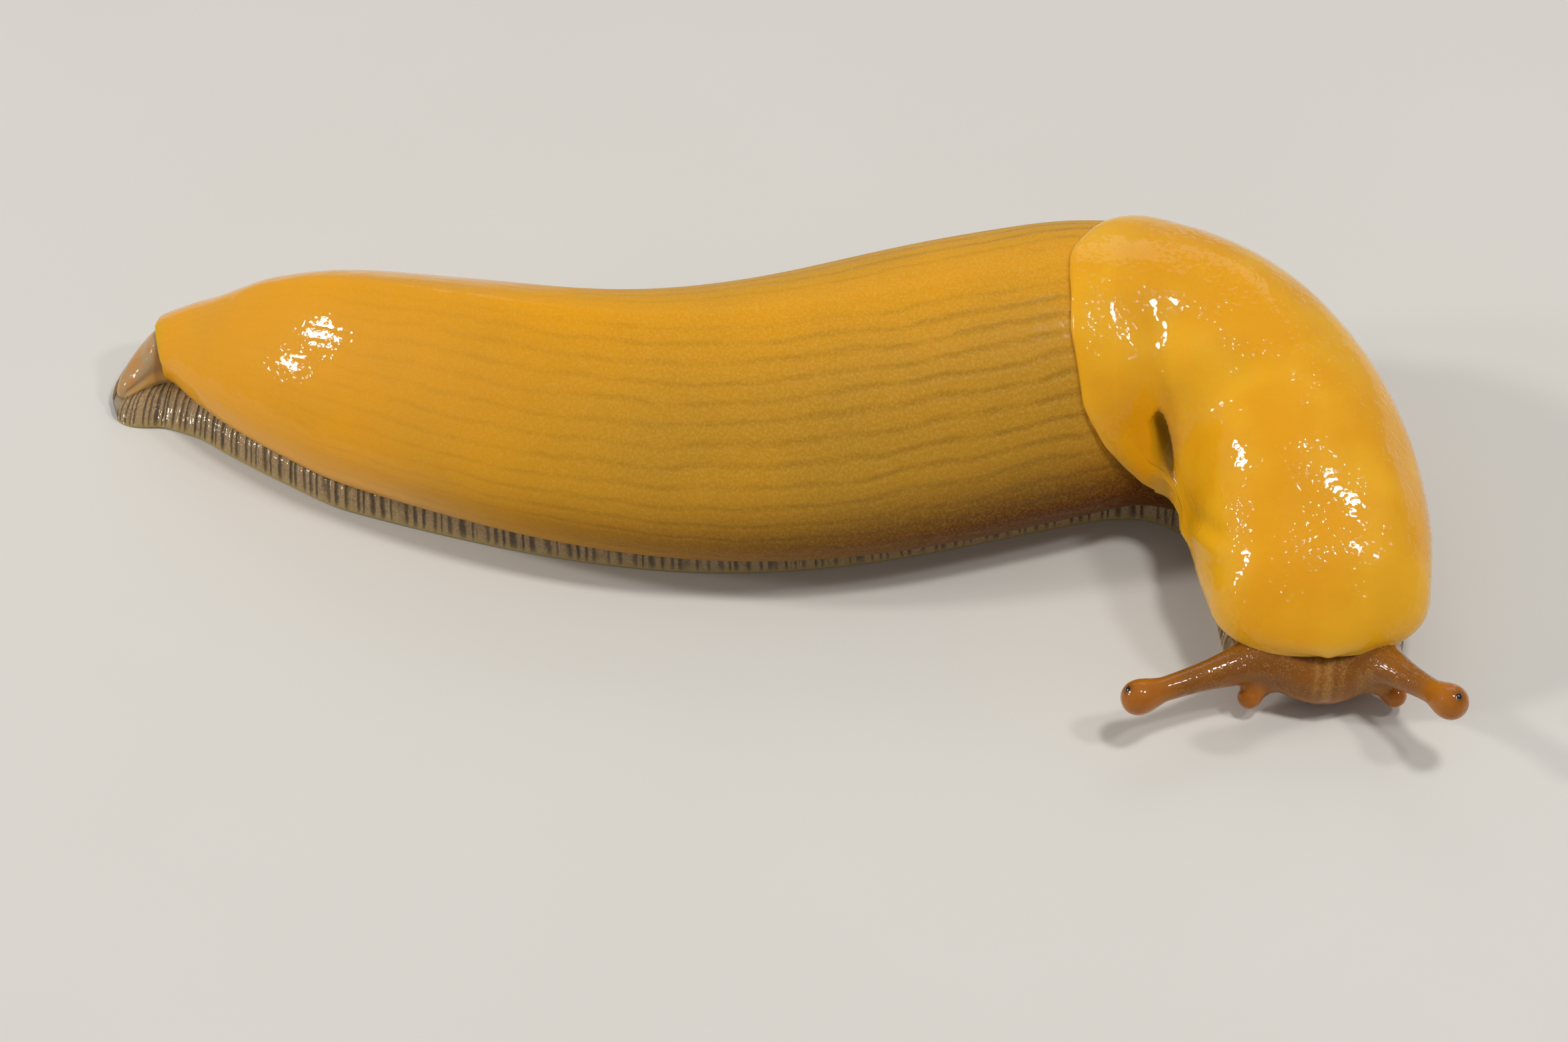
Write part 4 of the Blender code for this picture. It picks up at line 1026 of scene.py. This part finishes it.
def pale_grains(tree, at):
    """How far the skin's pale grains show: more ahead, fewer on the mantle, and fewer low on the flank,
    where shade is painted.
    """
    amount = add(tree, SPAN, (at.along, 16.0, 70.0, 0.1, 0.34))
    off_mantle = add(tree, SPAN, (at.mantle, 0.0, 1.0, 1.0, 0.12))
    # Fewer low on the flank, so that the painted shade there stays dark.
    higher = add(tree, SPAN, (at.side, 0.55, 0.85, 1.0, 0.4))
    for share in (off_mantle, higher):
        amount = add(tree, MATHS, (amount, share), operation="MULTIPLY")
    return add(tree, SPAN, (at.grain, 0.4, 0.8, 0.0, amount))


def skin_colour(tree, at, colours):
    """The trunk's colour, with the mantle's, the head's and the gland's where they are, and a pale rim."""
    pore = add(tree, MATHS, (at.hollow, at.bare_trunk), operation="MULTIPLY")
    off_head = add(tree, MATHS, (1.0, at.head), operation="SUBTRACT")
    rim = at.pale
    for share in (off_head, 0.5):
        rim = add(tree, MATHS, (rim, share), operation="MULTIPLY")
    skin = trunk_colour(tree, at, colours)
    layers = (
        (at.mantle, mantle_colour(tree, at, colours)),
        (pale_grains(tree, at), colours.granule),
        (at.head, head_colour(tree, at, colours)),
        (pore, gland_colour(tree, at, colours)),
        (rim, colours.granule),
    )
    for share, over in layers:
        skin = add(tree, MIX, {0: share, 6: skin, 7: over}, **RGBA)
    return skin


def slime_film(tree, at, below, beaded=0.065, rim=0.0):
    """The normal of the clear slime over the skin: slow waves, and patches of beads about 0.4 mm wide.

    The beads, beaded mm high, break each reflection into the bright specks of wet live skin; rim is a
    height to add."""
    waves = add(tree, NOISE, {"Vector": at.mm, "Scale": 1 / 3.4, "Detail": 1.0})
    beads = add(tree, NOISE, {"Vector": at.mm, "Scale": 1 / 0.5, "Detail": 0.0})
    beads = add(tree, SPAN, (beads, 0.5, 0.85), **SMOOTH)
    patches = add(tree, NOISE, {"Vector": at.mm, "Scale": 1 / 4.0, "Detail": 1.0})
    patches = add(tree, SPAN, (patches, 0.4, 0.6, 0.12), **SMOOTH)
    beads = add(tree, MATHS, (beads, patches), operation="MULTIPLY")
    film = rim
    for height, deep in ((waves, 0.15), (beads, beaded)):
        film = add(tree, MATHS, (height, deep, film), operation="MULTIPLY_ADD")
    return add(tree, "ShaderNodeBump", {"Height": film, "Distance": MM, "Normal": below})


def wet_skin(colours, sizes):
    """Live mollusc skin under slime: soft flesh that light enters, below a clear wet film.

    The eye gets mustard grains, thin dark furrows along the body and a gloss broken by tiny beads. The
    slime lies thick on mantle, head and tail, and is nearly dry on the rest of the trunk."""
    material, tree = new_material("wet_yellow_slug_skin")
    at = skin_places(tree, "flow", "zone", "face")
    at.side = add(tree, MATHS, (at.line,), operation="ABSOLUTE")
    covered = add(tree, MATHS, (at.head, at.mantle), operation="MAXIMUM")
    at.bare_trunk = add(tree, MATHS, (1.0, covered), operation="SUBTRACT")
    at.furrow = furrow_lines(tree, at, sizes.furrows)
    at.grain = add(tree, NOISE, {"Vector": at.mm, "Scale": 1 / 0.26, "Detail": 1.0, "Roughness": 0.6})

    lumps = add(tree, NOISE, {"Vector": at.mm, "Scale": 1 / 2.4, "Detail": 2.0})
    rough = add(tree, SPAN, (covered, 0.0, 1.0, 0.05, 0.12))
    lumps = add(tree, MATHS, (lumps, rough), operation="MULTIPLY")
    relief = add(tree, MATHS, (at.furrow, -0.1, lumps), operation="MULTIPLY_ADD")
    coarse = add(tree, "ShaderNodeBump", {"Height": relief, "Distance": MM})
    relief = add(tree, MATHS, (at.grain, 0.014), operation="MULTIPLY")
    bump = add(tree, "ShaderNodeBump", {"Height": relief, "Distance": MM, "Normal": coarse})

    dry = add(tree, SPAN, (at.along, 34.0, 50.0, 0.0, 0.93), **SMOOTH)
    dry = add(tree, MATHS, (dry, at.bare_trunk), operation="MULTIPLY")
    wet = add(tree, MATHS, (1.0, dry), operation="SUBTRACT")
    beaded = add(tree, SPAN, (covered, 0.0, 1.0, 0.02, 0.065))
    shader = add(
        tree, "ShaderNodeBsdfPrincipled",
        {
            "Base Color": skin_colour(tree, at, colours),
            "Roughness": 0.5, "IOR": 1.4, "Specular IOR Level": 0.15,
            "Subsurface Weight": 0.4, "Subsurface Radius": (1.0, 0.5, 0.12), "Subsurface Scale": 1.1 * MM,
            "Coat Weight": wet, "Coat Roughness": 0.04, "Coat IOR": 1.36, "Normal": bump,
            "Coat Normal": slime_film(tree, at, coarse, beaded),
        },
    )
    add(tree, "ShaderNodeOutputMaterial", {"Surface": shader})
    return material


def fringe_bars(tree, at):
    """The dark bars of the fringe, as 1 on a bar: one at each whole bar number, moved a little by noise.

    Each has its own width and strength by chance, and here and there a thin line runs between two."""
    slow = add(tree, NOISE, {"Vector": at.mm, "Scale": 1 / 1.3, "Detail": 2.0})
    moved = at.line
    for height, reach in ((slow, 0.22), (at.along, 0.3)):
        moved = add(tree, MATHS, (height, reach, moved), operation="MULTIPLY_ADD")
    inside = add(tree, MATHS, (moved, 0.5), operation="PINGPONG")
    which = add(tree, MATHS, (moved,), operation="ROUND")
    chance = add(tree, "ShaderNodeTexWhiteNoise", {"W": which}, noise_dimensions="1D")
    width = add(tree, SPAN, (chance, 0.0, 1.0, 0.22, 0.34))
    bar = add(tree, SPAN, (inside, width, 0.04), **SMOOTH)
    strong = add(tree, SPAN, (chance, 0.0, 1.0, 0.6, 0.85))
    bar = add(tree, MATHS, (bar, strong), operation="MULTIPLY")
    between = add(tree, SPAN, (inside, 0.43, 0.48), **SMOOTH)
    some = add(tree, NOISE, {"Vector": at.mm, "Scale": 1 / 2.6, "Detail": 1.0})
    some = add(tree, SPAN, (some, 0.55, 0.7, 0.0, 0.25), **SMOOTH)
    thin = add(tree, MATHS, (between, some), operation="MULTIPLY")
    bar = add(tree, MATHS, (bar, thin), operation="MAXIMUM")
    off_sole = add(tree, SPAN, (at.along, 0.1, 0.3), **SMOOTH)
    return add(tree, MATHS, (bar, off_sole), operation="MULTIPLY")


def barred_fringe(colours):
    """The foot's fringe: thin pleated flesh, wet at its rim.

    The eye gets beige, freckled plates between uneven dark grooves, a paler see-through rim, and painted
    shade at its top."""
    material, tree = new_material("wet_barred_foot_fringe")
    at = skin_places(tree, "flow")
    bar = fringe_bars(tree, at)
    grain = add(tree, NOISE, {"Vector": at.mm, "Scale": 1 / 0.24, "Detail": 2.0, "Roughness": 0.6})
    freckled = add(tree, SPAN, (grain, 0.36, 0.6), **SMOOTH)
    rim = add(tree, SPAN, (at.along, 0.34, 0.12, 0.0, 0.8), **SMOOTH)
    # Painted shade: the fringe's top, tucked under the flank, darkens to brown.
    top = add(tree, SPAN, (at.along, 0.86, 1.05, 0.0, 0.6), **SMOOTH)
    skin = add(tree, MIX, {0: freckled, 6: colours.plate_dark, 7: colours.plate}, **RGBA)
    for share, over in ((rim, colours.rim), (top, colours.groove), (bar, colours.bar)):
        skin = add(tree, MIX, {0: share, 6: skin, 7: over}, **RGBA)
    relief = add(tree, MATHS, (bar, -0.12), operation="MULTIPLY")
    coarse = add(tree, "ShaderNodeBump", {"Height": relief, "Distance": MM})
    relief = add(tree, MATHS, (grain, 0.04), operation="MULTIPLY")
    bump = add(tree, "ShaderNodeBump", {"Height": relief, "Distance": MM, "Normal": coarse})
    thick = add(tree, MATHS, (at.along, -1.7), operation="MULTIPLY")
    shader = add(
        tree, "ShaderNodeBsdfPrincipled",
        {
            "Base Color": skin, "Roughness": 0.45, "IOR": 1.4, "Specular IOR Level": 0.2,
            "Subsurface Weight": 0.15, "Subsurface Radius": (0.8, 0.5, 0.25), "Subsurface Scale": 0.6 * MM,
            "Coat Weight": 1.0, "Coat Roughness": 0.05, "Coat IOR": 1.36, "Normal": bump,
            "Coat Normal": slime_film(tree, at, coarse, rim=thick),
        },
    )
    add(tree, "ShaderNodeOutputMaterial", {"Surface": shader})
    return material


def black_eye(colours):
    """The eye spot: black pigment in a clear ball under wet skin, which gives one hard point of light."""
    material, tree = new_material("wet_black_eye_spot")
    at = skin_places(tree)
    cloudy = add(tree, NOISE, {"Vector": at.mm, "Scale": 1 / 0.2, "Detail": 2.0})
    share = add(tree, SPAN, (cloudy, 0.4, 0.7, 0.0, 0.35))
    colour = add(tree, MIX, {0: share, 6: linear("060505"), 7: colours.eye}, **RGBA)
    shader = add(
        tree, "ShaderNodeBsdfPrincipled",
        {"Base Color": colour, "Roughness": 0.2, "IOR": 1.38, "Coat Weight": 1.0, "Coat Roughness": 0.02},
    )
    add(tree, "ShaderNodeOutputMaterial", {"Surface": shader})
    return material


def colour_property(name, description, code):
    """A colour that a user can change, given as an sRGB hex code."""
    return bpy.props.FloatVectorProperty(
        name=name, description=description, default=linear(code), size=4, subtype="COLOR", min=0.0, max=1.0
    )


class SlugSizes(bpy.types.PropertyGroup):
    """The sizes of the skin's details."""

    bar_spacing: bpy.props.FloatProperty(
        name="Bar spacing", description="Distance from one dark bar of the fringe to the next",
        default=0.00105, unit="LENGTH",
    )
    fold_depth: bpy.props.FloatProperty(
        name="Fold depth", description="How deep the fringe's grooves are between its plates",
        default=0.00024, unit="LENGTH",
    )
    furrows: bpy.props.FloatProperty(
        name="Furrows", description="How many furrows run along each side of the body", default=16.0,
    )
    mantle_height: bpy.props.FloatProperty(
        name="Mantle height", description="How far the mantle stands proud of the trunk",
        default=0.0007, unit="LENGTH",
    )
    eye_radius: bpy.props.FloatProperty(
        name="Eye radius", description="Radius of each eye spot", default=0.0005, unit="LENGTH",
    )
    floor_size: bpy.props.FloatProperty(
        name="Floor size", description="Side of the square floor", default=6.0, unit="LENGTH",
    )


class SlugColours(bpy.types.PropertyGroup):
    """The colours of the skin."""

    back: colour_property("Back", "The orange yellow of the back and the tail", "E8A008")
    flank: colour_property("Flank", "The mustard of the flanks", "BE8C26")
    # Painted shade: the reddish brown that the lower flank darkens to.
    low_flank_shade: colour_property("Low flank", "The reddish brown low on the flank, by the mantle", "582A04")
    furrow: colour_property("Furrow", "The grey brown in the furrows", "745618")
    granule: colour_property("Granule", "The pale grains in the skin", "E8BC5A")
    mantle: colour_property("Mantle", "The mantle's deep yellow", "E9A306")
    mantle_light: colour_property("Light mantle", "The mantle's paler yellow", "EFB016")
    # Painted shade: the darker olive that the breathing hole turns as it deepens.
    hollow: colour_property("Hollow", "The olive in the breathing hole", "A07A10")
    head: colour_property("Head", "The brown of the head", "85500F")
    feeler: colour_property("Feeler", "The orange of the feelers' bulbs and lips", "AC6610")
    fleck: colour_property("Fleck", "The pale flecks on head and feelers", "B88C48")
    eye: colour_property("Eye", "The dark brown round the eyes", "1E110A")
    gland: colour_property("Gland", "The pale flesh in the tail's pore", "BC8848")
    plate: colour_property("Plate", "The beige plates of the fringe", "AE926A")
    plate_dark: colour_property("Dark plate", "The freckles on the plates", "94784F")
    rim: colour_property("Rim", "The fringe's pale rim", "BCA262")
    bar: colour_property("Bar", "The dark bars of the fringe", "362E20")
    groove: colour_property("Groove", "The shaded top of the fringe", "6A5228")


class SlugSkin(bpy.types.Operator):
    """Builds the one skin over trunk, mantle, neck, head, feelers, tail gland and foot"""

    bl_idname = "slug.skin"
    bl_label = "Build the skin"

    def execute(self, context):
        sizes, colours = context.scene.slug_sizes, context.scene.slug_colours
        core = make_core()
        shapes = [feeler_shape(kind, side) for kind in ("upper", "lower") for side in ("right", "left")]
        feelers = [make_feeler(shape, core) for shape in shapes]
        melt_into_head(core, shapes)
        patches = [core, make_mantle(sizes), make_gland(), make_foot(sizes), *feelers]
        skin = joined_skin("skin", patches, [wet_skin(colours, sizes), barred_fringe(colours)])
        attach(skin, "root")
        nodes = [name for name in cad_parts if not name.startswith("eye_")]
        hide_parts(*sorted(nodes))
        return {"FINISHED"}


class SlugEyes(bpy.types.Operator):
    """Builds the two eyes, each a black bead in the end of an upper feeler"""

    bl_idname = "slug.eyes"
    bl_label = "Build the eyes"

    def execute(self, context):
        radius = context.scene.slug_sizes.eye_radius / MM
        material = black_eye(context.scene.slug_colours)
        tilt = np.linspace(0.02, math.pi - 0.02, 24)[:, None]
        turn = np.linspace(0.0, 2 * math.pi, 32, endpoint=False)
        ball = triples(np.sin(tilt) * np.cos(turn), np.sin(tilt) * np.sin(turn), np.cos(tilt))
        for side in ("right", "left"):
            shell = patch(eye_centre(side) + radius * ball, (0.0, 0.0, 0.0), (0.0, 0.0, 0.0))
            eye = patch_object("eye_bead_" + side, shell, [material])
            eye.data.shade_smooth()
            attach(eye, "root")
            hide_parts("eye_" + side)
        return {"FINISHED"}


def area_light(name, location, target, width, height, power, colour):
    """A softbox that faces a target."""
    data = bpy.data.lights.new(name, "AREA")
    data.shape = "RECTANGLE"
    data.size, data.size_y = width, height
    data.energy = power
    data.color = colour
    made = bpy.data.objects.new(name, data)
    made.location = location
    made.rotation_euler = (Vector(target) - Vector(location)).to_track_quat("-Z", "Y").to_euler()
    bpy.context.scene.collection.objects.link(made)


def pale_board():
    """The floor: matt painted board, which gives the eye a plain pale ground with faint clouds."""
    material, tree = new_material("matt_painted_board")
    at = skin_places(tree)
    cloudy = add(tree, NOISE, {"Vector": at.mm, "Scale": 1 / 40.0, "Detail": 3.0})
    tone = add(tree, MIX, {0: cloudy, 6: linear("D9D6CF"), 7: linear("DEDBD5")}, **RGBA)
    shader = add(tree, "ShaderNodeBsdfPrincipled", {"Base Color": tone, "Roughness": 0.8})
    add(tree, "ShaderNodeOutputMaterial", {"Surface": shader})
    return material


def photo_camera():
    """The camera at the photograph's viewing angle and scale."""
    data = bpy.data.cameras.new("camera")
    data.sensor_width = 36.0
    data.lens = data.sensor_width * PHOTO_PIXELS_PER_METRE * CAMERA_DISTANCE / PHOTO_WIDTH
    data.clip_start = 0.01
    camera = bpy.data.objects.new("camera", data)
    x, y = CAMERA_AIM
    back, up = math.cos(CAMERA_ELEVATION), math.sin(CAMERA_ELEVATION)
    camera.location = (x, y - CAMERA_DISTANCE * back, CAMERA_DISTANCE * up)
    camera.rotation_euler = (math.pi / 2 - CAMERA_ELEVATION, 0.0, 0.0)
    return camera


class SlugStage(bpy.types.Operator):
    """Builds the stage: a plain pale floor, soft studio lights and the camera"""

    bl_idname = "slug.stage"
    bl_label = "Build the stage"

    def execute(self, context):
        scene = context.scene
        half = scene.slug_sizes.floor_size / 2
        mesh = bpy.data.meshes.new("floor")
        corners = [(-half, -half, 0.0), (half, -half, 0.0), (half, half, 0.0), (-half, half, 0.0)]
        mesh.from_pydata(corners, [], [(0, 1, 2, 3)])
        mesh.materials.append(pale_board())
        floor = bpy.data.objects.new("floor", mesh)
        scene.collection.objects.link(floor)

        scene.world = bpy.data.worlds.new("studio")
        scene.world.use_nodes = True
        background = scene.world.node_tree.nodes["Background"]
        background.inputs["Color"].default_value = (0.97, 0.98, 1.0, 1.0)
        background.inputs["Strength"].default_value = 0.3
        for light in LIGHTS:
            area_light(*light)
        scene.camera = photo_camera()
        scene.collection.objects.link(scene.camera)
        scene.view_settings.view_transform = "Standard"
        return {"FINISHED"}


class SlugPanel(bpy.types.Panel):
    """Lists the slug's sizes, colours and pieces"""

    bl_idname = "SLUG_PT_pieces"
    bl_label = "Banana slug"
    bl_space_type = "VIEW_3D"
    bl_region_type = "UI"
    bl_category = "Slug"

    def draw(self, context):
        layout = self.layout
        for group in (context.scene.slug_sizes, context.scene.slug_colours):
            box = layout.box()
            for name in group.__annotations__:
                box.prop(group, name)
        for operator in (SlugSkin, SlugEyes, SlugStage):
            layout.operator(operator.bl_idname)


CLASSES = (SlugSizes, SlugColours, SlugSkin, SlugEyes, SlugStage, SlugPanel)


def register():
    """Adds the classes, and the sizes and colours to the scene."""
    for kind in CLASSES:
        bpy.utils.register_class(kind)
    bpy.types.Scene.slug_sizes = bpy.props.PointerProperty(type=SlugSizes)
    bpy.types.Scene.slug_colours = bpy.props.PointerProperty(type=SlugColours)


def unregister():
    """Takes away what register() added."""
    del bpy.types.Scene.slug_colours
    del bpy.types.Scene.slug_sizes
    for kind in reversed(CLASSES):
        bpy.utils.unregister_class(kind)


def main():
    """Builds every piece."""
    register()
    bpy.ops.slug.skin()
    bpy.ops.slug.eyes()
    bpy.ops.slug.stage()


if __name__ == "__main__":
    main()
